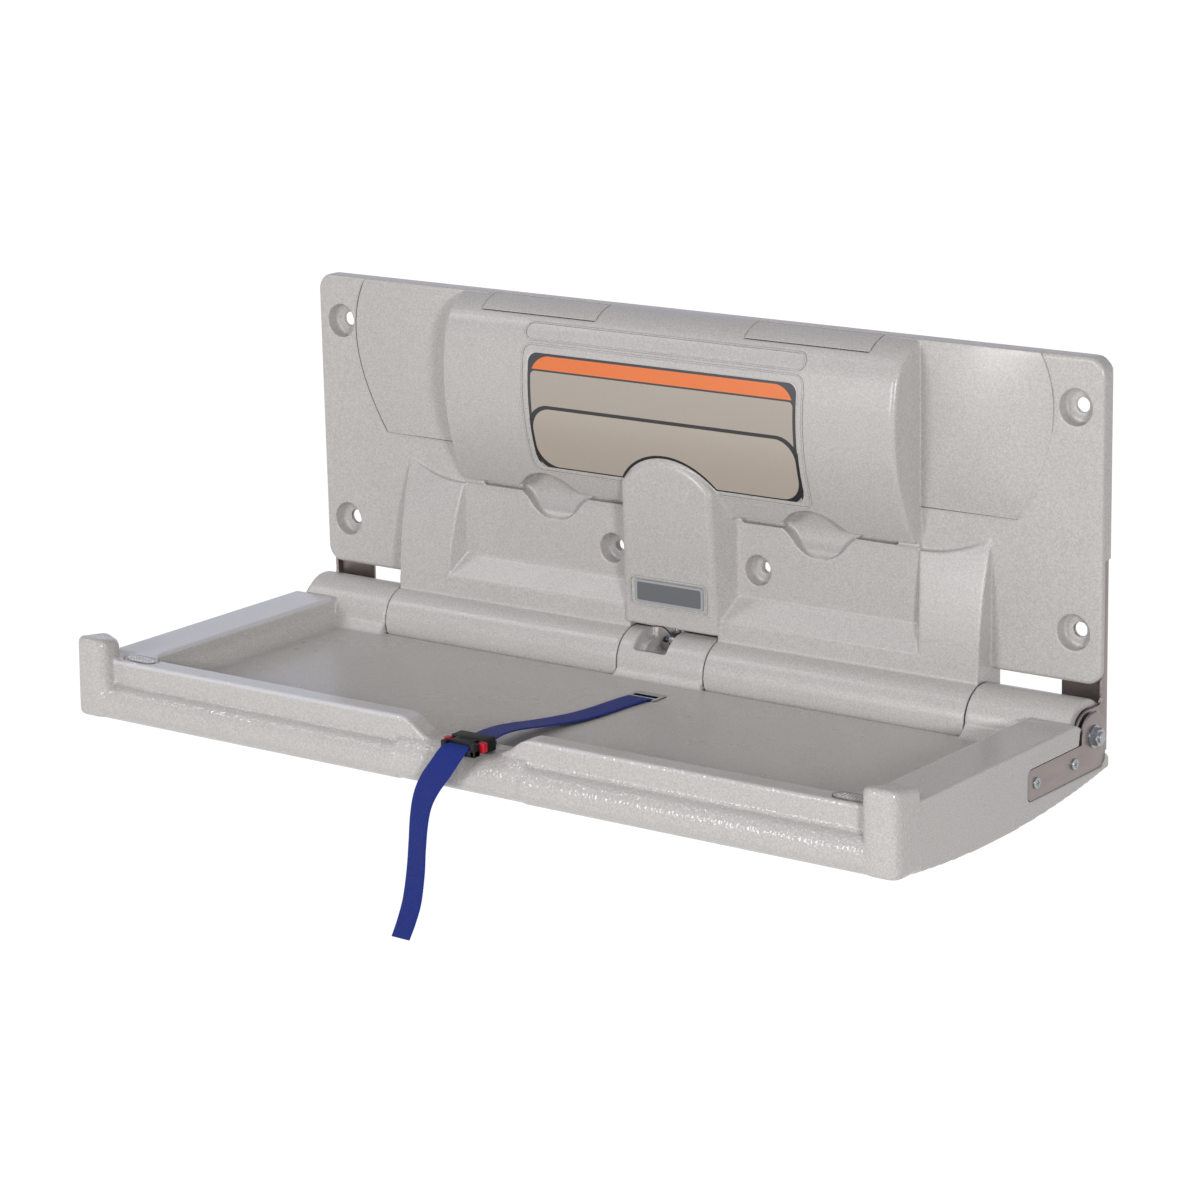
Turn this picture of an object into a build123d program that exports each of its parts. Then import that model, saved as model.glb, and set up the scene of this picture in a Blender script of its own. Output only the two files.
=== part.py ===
from build123d import *
import os
from math import acos, atan2, cos, degrees, hypot, pi, radians, sin, sqrt

# Wall-mounted baby changing station, tray open.
# Origin: wall plane, middle of the width, middle of the four corner screw holes.
# +X to the right as the user faces it, +Y into the wall, +Z up. Millimetres.

# Wall screw holes: this pattern sets the panel's size
HOLE_SPACING_X = 838.2
HOLE_SPACING_Z = 203.2
HOLE_INSET_X = 28.4
HOLE_INSET_Z = 45.9
HOLE_RADIUS = 6.7
COUNTERBORE_RADIUS = 16.5
COUNTERBORE_DEPTH = 13.0
MIDDLE_HOLE_SPACING = 169.0
MIDDLE_HOLE_RISE = 59.0
MIDDLE_HOLE_RADIUS = 5.2
MIDDLE_BORE_RADIUS = 14.5

# Wall panel
FLANGE_DEPTH = 17.0
PANEL_CORNER_RADIUS = 16.0
PANEL_EDGE_RADIUS = 4.0
SKIN = 3.5
RIB = 10.0
PAD_RISE = 1.5
PAD_INSET_TOP = 63.5
PAD_INSET_MIDDLE = 51.5
PAD_INSET_BOTTOM = 86.5
PAD_MIDDLE_DROP = 69.5
PAD_LENGTH = 152.5

# Liner dispenser: a barrel-fronted box with two compartments
DISPENSER_REACH = 58.4
DISPENSER_RADIUS = 200.0
DISPENSER_CREST_DROP = 79.5
DISPENSER_FOOT_DROP = 107.0
DISPENSER_SHOULDER = 45.0
DISPENSER_HALF_FRONT = 258.0
DISPENSER_END_SLOPE = 3.5
DISPENSER_END_RADIUS = 5.0
COMPARTMENT_MIDDLE_X = 153.0
COMPARTMENT_WIDTH = 172.0
COMPARTMENT_BACK = 5.0
RAMP_PROUD = 9.0
RAMP_FOOT_RISE = 26.0
RAMP_TOP_RISE = 51.0
SLOT_DROP = 2.0
SLOT_HEIGHT = 6.0
THUMB_WIDTH = 92.0
THUMB_RISE = 21.0
THUMB_DROP = 28.0
THUMB_FLARE = (0.8, 0.2)
THUMB_BEND = (0.62, 0.5)
THUMB_FLOOR_Y = -9.0
THUMB_FLOOR_RADIUS = 31.0
THUMB_FLOOR_DROP = 4.0

# Lids over the compartments
LID_WIDTH = 136.3
LID_THICKNESS = 3.0
LID_DROP = 12.4
LID_PIVOT_Y = -16.2
LID_KNUCKLE_RADIUS = 4.5
LID_GAP = 0.4
LID_PIN_RADIUS = 1.25
LID_PIN_LENGTH = 14.0
LID_LEDGE = 6.0
MOUTH_SETBACK = 25.4

# Lower body of the panel, from the dispenser down to the hinge barrels
END_BAY = 112.5
BODY_SHOULDER = 12.0
BODY_SHOULDER_MIDDLE = (30.5, 13.0)
BODY_SHOULDER_FALL = 18.5
BODY_MIDDLE_Y = -31.5
BODY_MIDDLE_RISE = 108.0
BODY_FOOT_RISE = 36.0
BODY_FOOT_PROUD = 7.0
BODY_STRIP = 73.0
RECESS_SIDE_SLOPE = 0.55
RECESS_FLOOR_Y = -20.6
RECESS_TOP_DROP = 4.0
RECESS_FLOOR_RISE = 72.0
RECESS_RISE = 50.0

# Middle pillar, which covers the gas spring
PILLAR_HALF_FOOT = 64.0
PILLAR_HALF_FRONT = 52.0
PILLAR_PROUD = 13.5
PILLAR_LEAN = 0.042
PILLAR_ARCH = 51.0
PILLAR_SHOULDER_RISE = 1.0
PILLAR_KNUCKLE_GAP = 5.5
PILLAR_EDGE_RADIUS = 7.0
NAME_PLATE_SIZE = (79.0, 22.0)
NAME_PLATE_RECESS = (86.0, 27.0)
NAME_PLATE_RISE = 32.5
NAME_PLATE_THICKNESS = 1.0

# Label on the dispenser front
LABEL_HALF_WIDTH = 154.0
LABEL_DROP = 44.5
LABEL_SIDE_DROP = 25.0
LABEL_THICKNESS = 0.5
LABEL_CORNER_RADIUS = 8.0
LABEL_GAP = 0.4

# Hinge
PIVOT_DROP = 40.5
BARREL_RADIUS = 32.0
BARREL_WALL_GAP = 1.0
KNUCKLE_GAP = 0.6
MIDDLE_KNUCKLE_HALF = 50.0
ROD_RADIUS = 5.0
RUNNING_CLEARANCE = 0.06
BUSH_WALL = 2.0
BUSH_LENGTH = 24.0
ROD_END = 9.5
FOLD_ANGLE = 82.5
BODY_CLEARANCE = 0.8

# Tray: lengths forward from the hinge, heights from the hinge or the rim
TRAY_OVERHANG = 4.0
TRAY_REACH = 342.4
TRAY_HEEL = 26.0
RIM_RISE = 17.5
WELL_DEPTH = 27.5
RIM_BAND = 51.0
WELL_CORNER_RADIUS = 24.0
WELL_FLOOR_RADIUS = 16.0
LIP_SETBACK = 15.4
LIP_WIDTH = 22.0
LIP_HEIGHT = 19.5
BAR_TOP_DROP = 4.0
BAR_CREST_DROP = 15.0
TRAY_FRONT_DEPTH = 58.4
TRAY_MIDDLE_DEPTH = 68.1
TRAY_REAR_DEPTH = 51.5
BELLY_FRONT_SETBACK = 7.0
BELLY_MIDDLE_REACH = 157.0
TRAY_WALL = 4.5
TRAY_BARREL_GAP = 2.0
TRAY_CORNER_RADIUS = 16.0

# Corner posts of the tray
POST_WIDTH = 28.5
POST_RISE = 22.5
POST_BACK_DROP = 7.0
POST_DEPTH_INNER = 25.0
POST_DEPTH_OUTER = 46.0
POST_SCOOP_RADIUS = 19.0
POST_SCOOP_DEPTH = 2.6

# Saddle in the middle of the front lip
SADDLE_HALF_FLOOR = 36.0
SADDLE_HALF_TOP = 76.0
SADDLE_DEPTH = 16.5
SADDLE_CURVE = 6.0
GRIP_HALF_LENGTH = 72.0
GRIP_RECESS = 1.5

# Steel side plates
PLATE_THICKNESS = 3.0
BRACKET_INSET = 2.8
BRACKET_RISE = 153.0
BRACKET_STRIP_DEPTH = 9.5
BRACKET_LOBE_RADIUS = 23.0
BRACKET_BEND_RADIUS = 6.0
BRACKET_FOOT_DEPTH = 10.0
BRACKET_FOOT_DROP = 17.0
BRACKET_FOOT_SLOPE = 5.0
BRACKET_FLANGE_WIDTH = 45.0
BRACKET_FLANGE_LOW = 20.0
BRACKET_FLANGE_HIGH = 128.0
BRACKET_FLANGE_THICKNESS = 2.5
ARM_LENGTH = 115.0
ARM_DROP = 3.0
ARM_DEPTH = 28.0
ARM_LOBE_RADIUS = 21.5
ARM_HEEL_REACH = 20.0
ARM_HEEL_CHAMFER = 6.0
ARM_CORNER_RADIUS = 6.0
ARM_RECESS = 1.0
ARM_SEAT_GAP = 0.5
ARM_SCREW_REACHES = (34.6, 100.3)
ARM_SCREW_RADIUS = 3.0
ARM_SCREW_HEAD_RADIUS = 5.2
ARM_SCREW_HEAD_HEIGHT = 1.6
ARM_SCREW_LENGTH = 14.0
DRIVER_WIDTH = 6.0
DRIVER_SLOT = 1.0
DRIVER_DEPTH = 0.9
STOP_RADIUS = 19.2
STOP_PIN_RADIUS = 3.0
STOP_REST_ANGLE = 48.6
STOP_PIN_LENGTH = 6.0
STOP_HEAD_OVERHANG = 1.8
STOP_HEAD_HEIGHT = 1.5
STOP_CLEARANCE = 0.35
LOBE_POCKET_RADIUS = 27.0
REAR_POCKET_RADIUS = 41.0
REAR_POCKET_ANGLES = (-44.0, 90.0)
BRACKET_GAP = 0.3

# Hinge nuts and washers
WASHER_RADIUS = 10.0
WASHER_THICKNESS = 1.4
WASHER_GAP = 0.1
NUT_ACROSS_FLATS = 15.0
NUT_HEIGHT = 5.6

# Gas spring and crank
SPRING_X = -14.0
CRANK_RADIUS = 24.0
CRANK_PIN_RADIUS = 2.5
CRANK_PIN_GRIP = 6.0
EYE_WIDTH = 10.0
EYE_PLAY = 3.9
EYE_WALL = 2.9
SLOT_WIDTH = 26.0
SLOT_ANGLES = (8.0, 150.0)
SLOT_FLARE = 6.0
SLOT_FLARE_START = 78.0
SLOT_FLARE_RADIUS = 21.0
SLEEVE_RADIUS = 10.0
CYLINDER_RADIUS = 9.0
CYLINDER_WALL = 1.4
CYLINDER_RISE = 46.0
CYLINDER_LENGTH = 86.0
CYLINDER_CAP = 4.0
GAS_ROD_RADIUS = 4.0
PISTON_RISE = 48.0
PISTON_LENGTH = 10.0
TOP_EYE_RISE = 12.0
TOP_EYE_RADIUS = 6.5
TOP_PIN_RADIUS = 3.0
BAY_WIDTH = 26.0
BAY_WALL = 5.0
BAY_HEADROOM = 16.0
SPRING_BRACKET_THICKNESS = 2.5
SPRING_BRACKET_WIDTH = 20.0

# Strap, buckle and strap plate
STRAP_WIDTH = 25.0
STRAP_THICKNESS = 1.6
STRAP_PLATE_SIZE = (34.0, 22.0)
STRAP_PLATE_THICKNESS = 2.0
STRAP_PLATE_X = 21.0
STRAP_PLATE_REACH = 82.0
STRAP_PLATE_GAP = 0.3
STRAP_SLOT_DEPTH = 6.0
ANCHOR_POCKET_DEPTH = 16.0
ANCHOR_BAR_RADIUS = 2.5
DECK_RUN = ((21.0, 0.012), (21.0, 0.235), (8.0, 0.433), (-10.0, 0.606), (-4.0, 0.812), (13.0, 1.0))
DECK_RUN_END = 17.9
STRAP_CLIMB = 44.0
STRAP_REACH_X = 80.0
STRAP_LIFT = 0.4
STRAP_BUCKLE_LIFT = 2.2
DRAPE_RUN = ((12.0, 54.0), (2.0, 30.0), (-23.0, 1.1))
TAIL_RUN = ((-23.0, 0.8), (-36.0, -20.0), (-40.0, -70.0), (-47.0, -104.0), (-62.0, -140.0))
TAIL_STANDOFF = 6.1
TAIL_PIVOT_DROP = 5.1
BUCKLE_SIZE = (38.0, 31.0, 13.0)
BUCKLE_X = 15.0
BUCKLE_SETBACK = 2.9
BUCKLE_GAP = 0.3
BUCKLE_WALL = 1.8
BUTTON_SIZE = (7.0, 13.0, 6.5)
BUTTON_TRAVEL = 2.5
BUTTON_GAP = 0.3
BUTTON_PROUD = 2.6
TONGUE_THICKNESS = 3.0
CORNER_PAD_SIZE = (38.0, 15.0)
CORNER_PAD_INSET = 22.0
CORNER_PAD_SETBACK = 8.0
CORNER_PAD_HEIGHT = 0.8
CORNER_PAD_SINK = 0.5

# Sizes worked out from those above: panel
HALF_PANEL = HOLE_SPACING_X / 2 + HOLE_INSET_X
PANEL_TOP_Z = HOLE_SPACING_Z / 2 + HOLE_INSET_Z
PIVOT_Y = -BARREL_RADIUS - BARREL_WALL_GAP
PIVOT_Z = -PANEL_TOP_Z - PIVOT_DROP
MIDDLE_HOLE_Z = -PANEL_TOP_Z + MIDDLE_HOLE_RISE
DISPENSER_MIDDLE_Z = PANEL_TOP_Z - DISPENSER_CREST_DROP
DISPENSER_CENTRE_Y = DISPENSER_RADIUS - DISPENSER_REACH
DISPENSER_SHOULDER_Z = PANEL_TOP_Z - DISPENSER_SHOULDER
SHOULDER_TO_BARREL = sqrt(
    (DISPENSER_RADIUS - DISPENSER_SHOULDER) ** 2 - (DISPENSER_SHOULDER_Z - DISPENSER_MIDDLE_Z) ** 2
)
DISPENSER_SHOULDER_Y = DISPENSER_CENTRE_Y - SHOULDER_TO_BARREL
DISPENSER_HALF_FOOT = DISPENSER_HALF_FRONT + DISPENSER_END_SLOPE
DISPENSER_FOOT_Z = DISPENSER_MIDDLE_Z - DISPENSER_FOOT_DROP
SLOT_Z = DISPENSER_FOOT_Z - SLOT_DROP
LID_LIP_Z = PANEL_TOP_Z - LID_DROP
LID_TOP_Z = DISPENSER_SHOULDER_Z + sqrt(
    DISPENSER_SHOULDER**2 - (LID_PIVOT_Y - DISPENSER_SHOULDER_Y) ** 2
)
LID_PIVOT_Z = LID_TOP_Z - LID_KNUCKLE_RADIUS
BODY_HALF_WIDTH = HALF_PANEL - END_BAY
BODY_TOP_Z = DISPENSER_FOOT_Z + BODY_SHOULDER
BODY_SLOPE_MIDDLE = (BODY_MIDDLE_Y, PIVOT_Z + BODY_MIDDLE_RISE)
BODY_SLOPE_END = (PIVOT_Y - BODY_FOOT_PROUD, PIVOT_Z + BODY_FOOT_RISE)
RECESS_HALF_WIDTH = BODY_HALF_WIDTH - BODY_STRIP
RECESS_TOP_Z = DISPENSER_FOOT_Z - RECESS_TOP_DROP
RECESS_FLOOR_END_Z = PIVOT_Z + RECESS_FLOOR_RISE
RECESS_END_Z = PIVOT_Z + RECESS_RISE
PILLAR_FRONT_Y = PIVOT_Y - PILLAR_PROUD
PILLAR_SHOULDER_Z = DISPENSER_FOOT_Z + PILLAR_SHOULDER_RISE
PILLAR_TOP_Z = PILLAR_SHOULDER_Z + PILLAR_ARCH
PILLAR_BOTTOM_Z = PIVOT_Z + BARREL_RADIUS + PILLAR_KNUCKLE_GAP
NAME_PLATE_Z = PILLAR_BOTTOM_Z + NAME_PLATE_RISE
PILLAR_TOP_Y = PILLAR_FRONT_Y - PILLAR_LEAN * (PILLAR_TOP_Z - NAME_PLATE_Z)
PILLAR_LOW_Y = PILLAR_FRONT_Y + PILLAR_LEAN * NAME_PLATE_RISE
LABEL_TOP_Z = PANEL_TOP_Z - LABEL_DROP
LABEL_BOTTOM_Z = PILLAR_TOP_Z - LABEL_SIDE_DROP

# Worked out: tray
TRAY_HALF_WIDTH = HALF_PANEL + TRAY_OVERHANG
TRAY_FRONT_Y = PIVOT_Y - TRAY_REACH
TRAY_REAR_Y = PIVOT_Y + TRAY_HEEL
RIM_Z = PIVOT_Z + RIM_RISE
DECK_Z = RIM_Z - WELL_DEPTH
LIP_FRONT_Y = TRAY_FRONT_Y + LIP_SETBACK
WELL_FRONT_Y = LIP_FRONT_Y + LIP_WIDTH
LIP_FOOT_Z = RIM_Z - LIP_HEIGHT
BAR_TOP_Z = LIP_FOOT_Z - BAR_TOP_DROP
BAR_CREST_Z = BAR_TOP_Z - BAR_CREST_DROP
BELLY_FRONT = (LIP_FRONT_Y + BELLY_FRONT_SETBACK, RIM_Z - TRAY_FRONT_DEPTH)
BELLY_MIDDLE = (PIVOT_Y - BELLY_MIDDLE_REACH, RIM_Z - TRAY_MIDDLE_DEPTH)
BELLY_REAR = (TRAY_REAR_Y, RIM_Z - TRAY_REAR_DEPTH)
POST_INNER_X = TRAY_HALF_WIDTH - POST_WIDTH
POST_TOP_Z = RIM_Z + POST_RISE
POST_BACK_Z = POST_TOP_Z - POST_BACK_DROP
SADDLE_Z = RIM_Z - SADDLE_DEPTH

# Worked out: plates, hinge and gas spring
BRACKET_OUTER_X = HALF_PANEL - BRACKET_INSET
BRACKET_INNER_X = BRACKET_OUTER_X - PLATE_THICKNESS
BRACKET_TOP_Z = PIVOT_Z + BRACKET_RISE
BRACKET_FLANGE_BOTTOM_Z = PIVOT_Z + BRACKET_FLANGE_LOW
BRACKET_FLANGE_TOP_Z = PIVOT_Z + BRACKET_FLANGE_HIGH
KNUCKLE_END_X = BRACKET_INNER_X - KNUCKLE_GAP
ARM_OUTER_X = TRAY_HALF_WIDTH - ARM_RECESS
ARM_INNER_X = ARM_OUTER_X - PLATE_THICKNESS
ARM_FRONT_Y = PIVOT_Y - ARM_LENGTH
ARM_TOP_Z = PIVOT_Z - ARM_DROP
ARM_BOTTOM_Z = ARM_TOP_Z - ARM_DEPTH
ARM_HEEL_Y = PIVOT_Y + ARM_HEEL_REACH
ARM_SCREW_Y = [PIVOT_Y - reach for reach in ARM_SCREW_REACHES]
ARM_SCREW_Z = (ARM_TOP_Z + ARM_BOTTOM_Z) / 2
ROD_END_X = ARM_OUTER_X + ROD_END
CRANK_ANGLE = FOLD_ANGLE / 2
CRANK_Y = PIVOT_Y + CRANK_RADIUS * cos(radians(CRANK_ANGLE))
CRANK_Z = PIVOT_Z + CRANK_RADIUS * sin(radians(CRANK_ANGLE))
SPRING_Y = PIVOT_Y + CRANK_RADIUS * (1 + cos(radians(CRANK_ANGLE))) / 2
EYE_BORE_RADIUS = CRANK_PIN_RADIUS + EYE_PLAY
CYLINDER_BOTTOM_Z = PIVOT_Z + CYLINDER_RISE
CYLINDER_TOP_Z = CYLINDER_BOTTOM_Z + CYLINDER_LENGTH
PISTON_Z = CYLINDER_BOTTOM_Z + PISTON_RISE
TOP_EYE_Z = CYLINDER_TOP_Z + TOP_EYE_RISE
BAY_FRONT_Y = PILLAR_FRONT_Y + BAY_WALL
BAY_TOP_Z = TOP_EYE_Z + BAY_HEADROOM

# Worked out: strap and buckle
STRAP_PLATE_AT = (STRAP_PLATE_X, PIVOT_Y - STRAP_PLATE_REACH)
BUCKLE_AT = (BUCKLE_X, TRAY_FRONT_Y + BUCKLE_SETBACK)
BUCKLE_BASE_Z = SADDLE_Z + BUCKLE_GAP
BUCKLE_MIDDLE_Z = BUCKLE_BASE_Z + BUCKLE_SIZE[2] / 2
TAIL_Y = TRAY_FRONT_Y - TAIL_STANDOFF
TAIL_PIVOT_Z = BELLY_FRONT[1] - TAIL_PIVOT_DROP
CORNER_PAD_AT = (POST_INNER_X - CORNER_PAD_INSET, WELL_FRONT_Y - CORNER_PAD_SETBACK)


def region(start, *steps):
    """Closed outline. A step is an end point, or a pair: a point on an arc and the arc's end."""
    here = start
    edges = []
    for step in steps + (start,):
        if isinstance(step[0], tuple):
            edges.append(ThreePointArc(here, step[0], step[1]))
            here = step[1]
        elif hypot(step[0] - here[0], step[1] - here[1]) > 0.001:
            edges.append(Line(here, step))
            here = step
    return make_face(Wire(edges))


def along_x(outline, x0, x1):
    return extrude(Plane.YZ.offset(x0) * outline, x1 - x0)


def along_y(outline, y0, y1):
    front = Plane(origin=(0, y1, 0), x_dir=(1, 0, 0), z_dir=(0, -1, 0))
    return extrude(front * outline, y1 - y0)


def along_z(outline, z0, z1):
    return extrude(Plane.XY.offset(z0) * outline, z1 - z0)


def block(x0, x1, y0, y1, z0, z1):
    return Pos((x0 + x1) / 2, (y0 + y1) / 2, (z0 + z1) / 2) * Box(x1 - x0, y1 - y0, z1 - z0)


def rod_x(radius, x0, x1, y, z):
    return Pos((x0 + x1) / 2, y, z) * Rot(0, 90, 0) * Cylinder(radius, x1 - x0)


def rod_y(radius, x, y0, y1, z):
    return Pos(x, (y0 + y1) / 2, z) * Rot(90, 0, 0) * Cylinder(radius, y1 - y0)


def rod_z(radius, x, y, z0, z1):
    return Pos(x, y, (z0 + z1) / 2) * Cylinder(radius, z1 - z0)


def both_sides(solid):
    return solid + mirror(solid, about=Plane.YZ)


def rounded_outline(width, height, radius, x=0.0, y=0.0):
    return Pos(x, y) * RectangleRounded(width, height, radius)


def dispenser_y(z, inset=0.0):
    """Y of the barrel front, or of a surface set in behind it, at height z."""
    radius = DISPENSER_RADIUS - inset
    return DISPENSER_CENTRE_Y - sqrt(radius**2 - (z - DISPENSER_MIDDLE_Z) ** 2)


def dispenser_section(inset, foot_z):
    """Section of the dispenser, cut back by inset: flat top, rounded shoulder and barrel front."""
    top_z = PANEL_TOP_Z - inset
    shoulder = DISPENSER_SHOULDER - inset
    barrel = DISPENSER_RADIUS - inset
    rise = atan2(DISPENSER_SHOULDER_Z - DISPENSER_MIDDLE_Z, SHOULDER_TO_BARREL)
    half_turn = (rise + pi / 2) / 2
    join_z = DISPENSER_MIDDLE_Z + barrel * sin(rise)
    middle_z = (join_z + foot_z) / 2
    shoulder_middle = (
        DISPENSER_SHOULDER_Y - shoulder * cos(half_turn),
        DISPENSER_SHOULDER_Z + shoulder * sin(half_turn),
    )
    return region(
        (0.0, top_z),
        (DISPENSER_SHOULDER_Y, top_z),
        (shoulder_middle, (dispenser_y(join_z, inset), join_z)),
        ((dispenser_y(middle_z, inset), middle_z), (dispenser_y(foot_z, inset), foot_z)),
        (0.0, foot_z),
    )


def polar(radius, angle):
    """Point about the hinge axis, in Y and Z; angle from the wall side, up."""
    return (PIVOT_Y + radius * cos(radians(angle)), PIVOT_Z + radius * sin(radians(angle)))


def sector(inner, outer, start, end):
    middle = (start + end) / 2
    return region(
        polar(inner, start),
        polar(outer, start),
        (polar(outer, middle), polar(outer, end)),
        polar(inner, end),
        (polar(inner, middle), polar(inner, start)),
    )


def dispenser_shape():
    """Dispenser body with its slightly sloping ends and softened end edges."""
    section = dispenser_section(0.0, DISPENSER_FOOT_Z)
    body = along_x(section, -DISPENSER_HALF_FOOT, DISPENSER_HALF_FOOT)
    plan = region(
        (-DISPENSER_HALF_FOOT, 0.0),
        (-DISPENSER_HALF_FOOT, -FLANGE_DEPTH),
        (-DISPENSER_HALF_FRONT, -DISPENSER_REACH),
        (DISPENSER_HALF_FRONT, -DISPENSER_REACH),
        (DISPENSER_HALF_FOOT, -FLANGE_DEPTH),
        (DISPENSER_HALF_FOOT, 0.0),
    )
    body &= along_z(plan, DISPENSER_FOOT_Z, PANEL_TOP_Z)
    ends = [
        e
        for e in body.edges()
        if abs(e.center().X) > DISPENSER_HALF_FRONT - 1.0 and e.center().Y < -FLANGE_DEPTH - 10.0
    ]
    return fillet(ends, DISPENSER_END_RADIUS)


def side_pad():
    outline = region(
        (DISPENSER_HALF_FRONT, PANEL_TOP_Z),
        (HALF_PANEL - PAD_INSET_TOP, PANEL_TOP_Z),
        (
            (HALF_PANEL - PAD_INSET_MIDDLE, PANEL_TOP_Z - PAD_MIDDLE_DROP),
            (HALF_PANEL - PAD_INSET_BOTTOM, PANEL_TOP_Z - PAD_LENGTH),
        ),
        (DISPENSER_HALF_FRONT, PANEL_TOP_Z - PAD_LENGTH),
    )
    return along_y(outline, -FLANGE_DEPTH - PAD_RISE, -FLANGE_DEPTH + 1.0)


def panel_flange():
    outline = rounded_outline(2 * HALF_PANEL, 2 * PANEL_TOP_Z, PANEL_CORNER_RADIUS)
    flange = along_y(outline, -FLANGE_DEPTH, 0.0)
    front_edges = flange.edges().group_by(Axis.Y)[0]
    return fillet(front_edges, PANEL_EDGE_RADIUS)


def lower_body():
    section = region(
        (0.0, BODY_TOP_Z),
        (-FLANGE_DEPTH, BODY_TOP_Z),
        (BODY_SLOPE_MIDDLE, BODY_SLOPE_END),
        (BODY_SLOPE_END[0], PIVOT_Z + BARREL_RADIUS / 2),
        (PIVOT_Y, PIVOT_Z),
        (0.0, PIVOT_Z),
    )
    body = along_x(section, -BODY_HALF_WIDTH, BODY_HALF_WIDTH)
    barrel = rod_x(BARREL_RADIUS, -BODY_HALF_WIDTH, BODY_HALF_WIDTH, PIVOT_Y, PIVOT_Z)
    return body + barrel - body_recess() - both_sides(shoulder_cut())


def shoulder_cut():
    """What is cut away beside the dispenser, so that the body's top edge rises outwards."""
    along, drop = BODY_SHOULDER_MIDDLE
    outline = region(
        (BODY_HALF_WIDTH, BODY_TOP_Z),
        (BODY_HALF_WIDTH, BODY_TOP_Z + 1.0),
        (RECESS_HALF_WIDTH, BODY_TOP_Z + 1.0),
        (RECESS_HALF_WIDTH, BODY_TOP_Z - BODY_SHOULDER_FALL),
        ((BODY_HALF_WIDTH - along, BODY_TOP_Z - drop), (BODY_HALF_WIDTH, BODY_TOP_Z)),
    )
    return along_y(outline, -DISPENSER_REACH, -FLANGE_DEPTH)


def body_recess():
    """Shallow tray-like recess below the slots, its two ends sloping outwards."""
    front = BODY_SLOPE_END[0] - 20.0
    half = RECESS_HALF_WIDTH
    spread = half + RECESS_SIDE_SLOPE * (RECESS_FLOOR_Y - front)
    section = region(
        (front, RECESS_TOP_Z),
        (RECESS_FLOOR_Y, RECESS_TOP_Z),
        (RECESS_FLOOR_Y, RECESS_FLOOR_END_Z),
        (BODY_SLOPE_END[0], RECESS_END_Z),
        (front, RECESS_END_Z),
    )
    plan = region(
        (-half, RECESS_FLOOR_Y + 1.0),
        (-half, RECESS_FLOOR_Y),
        (-spread, front),
        (spread, front),
        (half, RECESS_FLOOR_Y),
        (half, RECESS_FLOOR_Y + 1.0),
    )
    return along_x(section, -spread, spread) & along_z(plan, RECESS_END_Z, RECESS_TOP_Z)


def pillar():
    """Pillar with sloping sides and an arched top, its front leaning out towards the arch."""
    side_slope = (PILLAR_HALF_FOOT - PILLAR_HALF_FRONT) / (-FLANGE_DEPTH - PILLAR_FRONT_Y)
    half_top = PILLAR_HALF_FRONT - side_slope * (PILLAR_FRONT_Y - PILLAR_TOP_Y)
    plan = region(
        (-PILLAR_HALF_FOOT, -1.0),
        (-PILLAR_HALF_FOOT, -FLANGE_DEPTH),
        (-half_top, PILLAR_TOP_Y),
        (half_top, PILLAR_TOP_Y),
        (PILLAR_HALF_FOOT, -FLANGE_DEPTH),
        (PILLAR_HALF_FOOT, -1.0),
    )
    face = region(
        (-PILLAR_HALF_FOOT, PILLAR_BOTTOM_Z),
        (PILLAR_HALF_FOOT, PILLAR_BOTTOM_Z),
        (PILLAR_HALF_FOOT, PILLAR_SHOULDER_Z),
        ((0.0, PILLAR_TOP_Z), (-PILLAR_HALF_FOOT, PILLAR_SHOULDER_Z)),
    )
    side = region(
        (-1.0, PILLAR_BOTTOM_Z),
        (PILLAR_LOW_Y, PILLAR_BOTTOM_Z),
        (PILLAR_TOP_Y, PILLAR_TOP_Z),
        (-1.0, PILLAR_TOP_Z),
    )
    column = along_z(plan, PILLAR_BOTTOM_Z, PILLAR_TOP_Z)
    shaped = column & along_y(face, PILLAR_TOP_Y, -1.0)
    shaped &= along_x(side, -PILLAR_HALF_FOOT, PILLAR_HALF_FOOT)
    upright = [
        e
        for e in shaped.edges()
        if e.center().Y < PILLAR_FRONT_Y and abs(e.center().X) > PILLAR_HALF_FRONT / 2
    ]
    return fillet(upright, PILLAR_EDGE_RADIUS)


def lid_shell(outer, inner, gap):
    """Skin of the dispenser where a lid lies, between two depths, with its rolled back edge."""
    x0 = COMPARTMENT_MIDDLE_X - LID_WIDTH / 2 - gap
    x1 = COMPARTMENT_MIDDLE_X + LID_WIDTH / 2 + gap
    low = LID_LIP_Z - gap
    skin = along_x(dispenser_section(outer, DISPENSER_FOOT_Z), x0, x1)
    skin -= along_x(dispenser_section(inner, DISPENSER_FOOT_Z), x0, x1)
    skin &= block(x0, x1, -2 * DISPENSER_REACH, LID_PIVOT_Y, low, PANEL_TOP_Z + 2.0)
    return skin + rod_x(LID_KNUCKLE_RADIUS + gap, x0, x1, LID_PIVOT_Y, LID_PIVOT_Z)


def lid():
    body = lid_shell(0.0, LID_THICKNESS, 0.0)
    for side in (-1, 1):
        end = COMPARTMENT_MIDDLE_X + side * LID_WIDTH / 2
        inner = end - side * LID_PIN_LENGTH / 2
        bore = rod_x(
            LID_PIN_RADIUS + RUNNING_CLEARANCE, min(end, inner), max(end, inner), LID_PIVOT_Y, LID_PIVOT_Z
        )
        body -= bore
    return body


def lid_room():
    """Room for the lid, shut or standing open."""
    half = LID_WIDTH / 2 + LID_GAP
    back = LID_PIVOT_Y + LID_KNUCKLE_RADIUS + LID_GAP
    behind = block(
        COMPARTMENT_MIDDLE_X - half,
        COMPARTMENT_MIDDLE_X + half,
        LID_PIVOT_Y - 1.0,
        back,
        LID_PIVOT_Z,
        PANEL_TOP_Z + 1.0,
    )
    return lid_shell(-1.0, LID_THICKNESS + LID_GAP, LID_GAP) + behind


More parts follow.
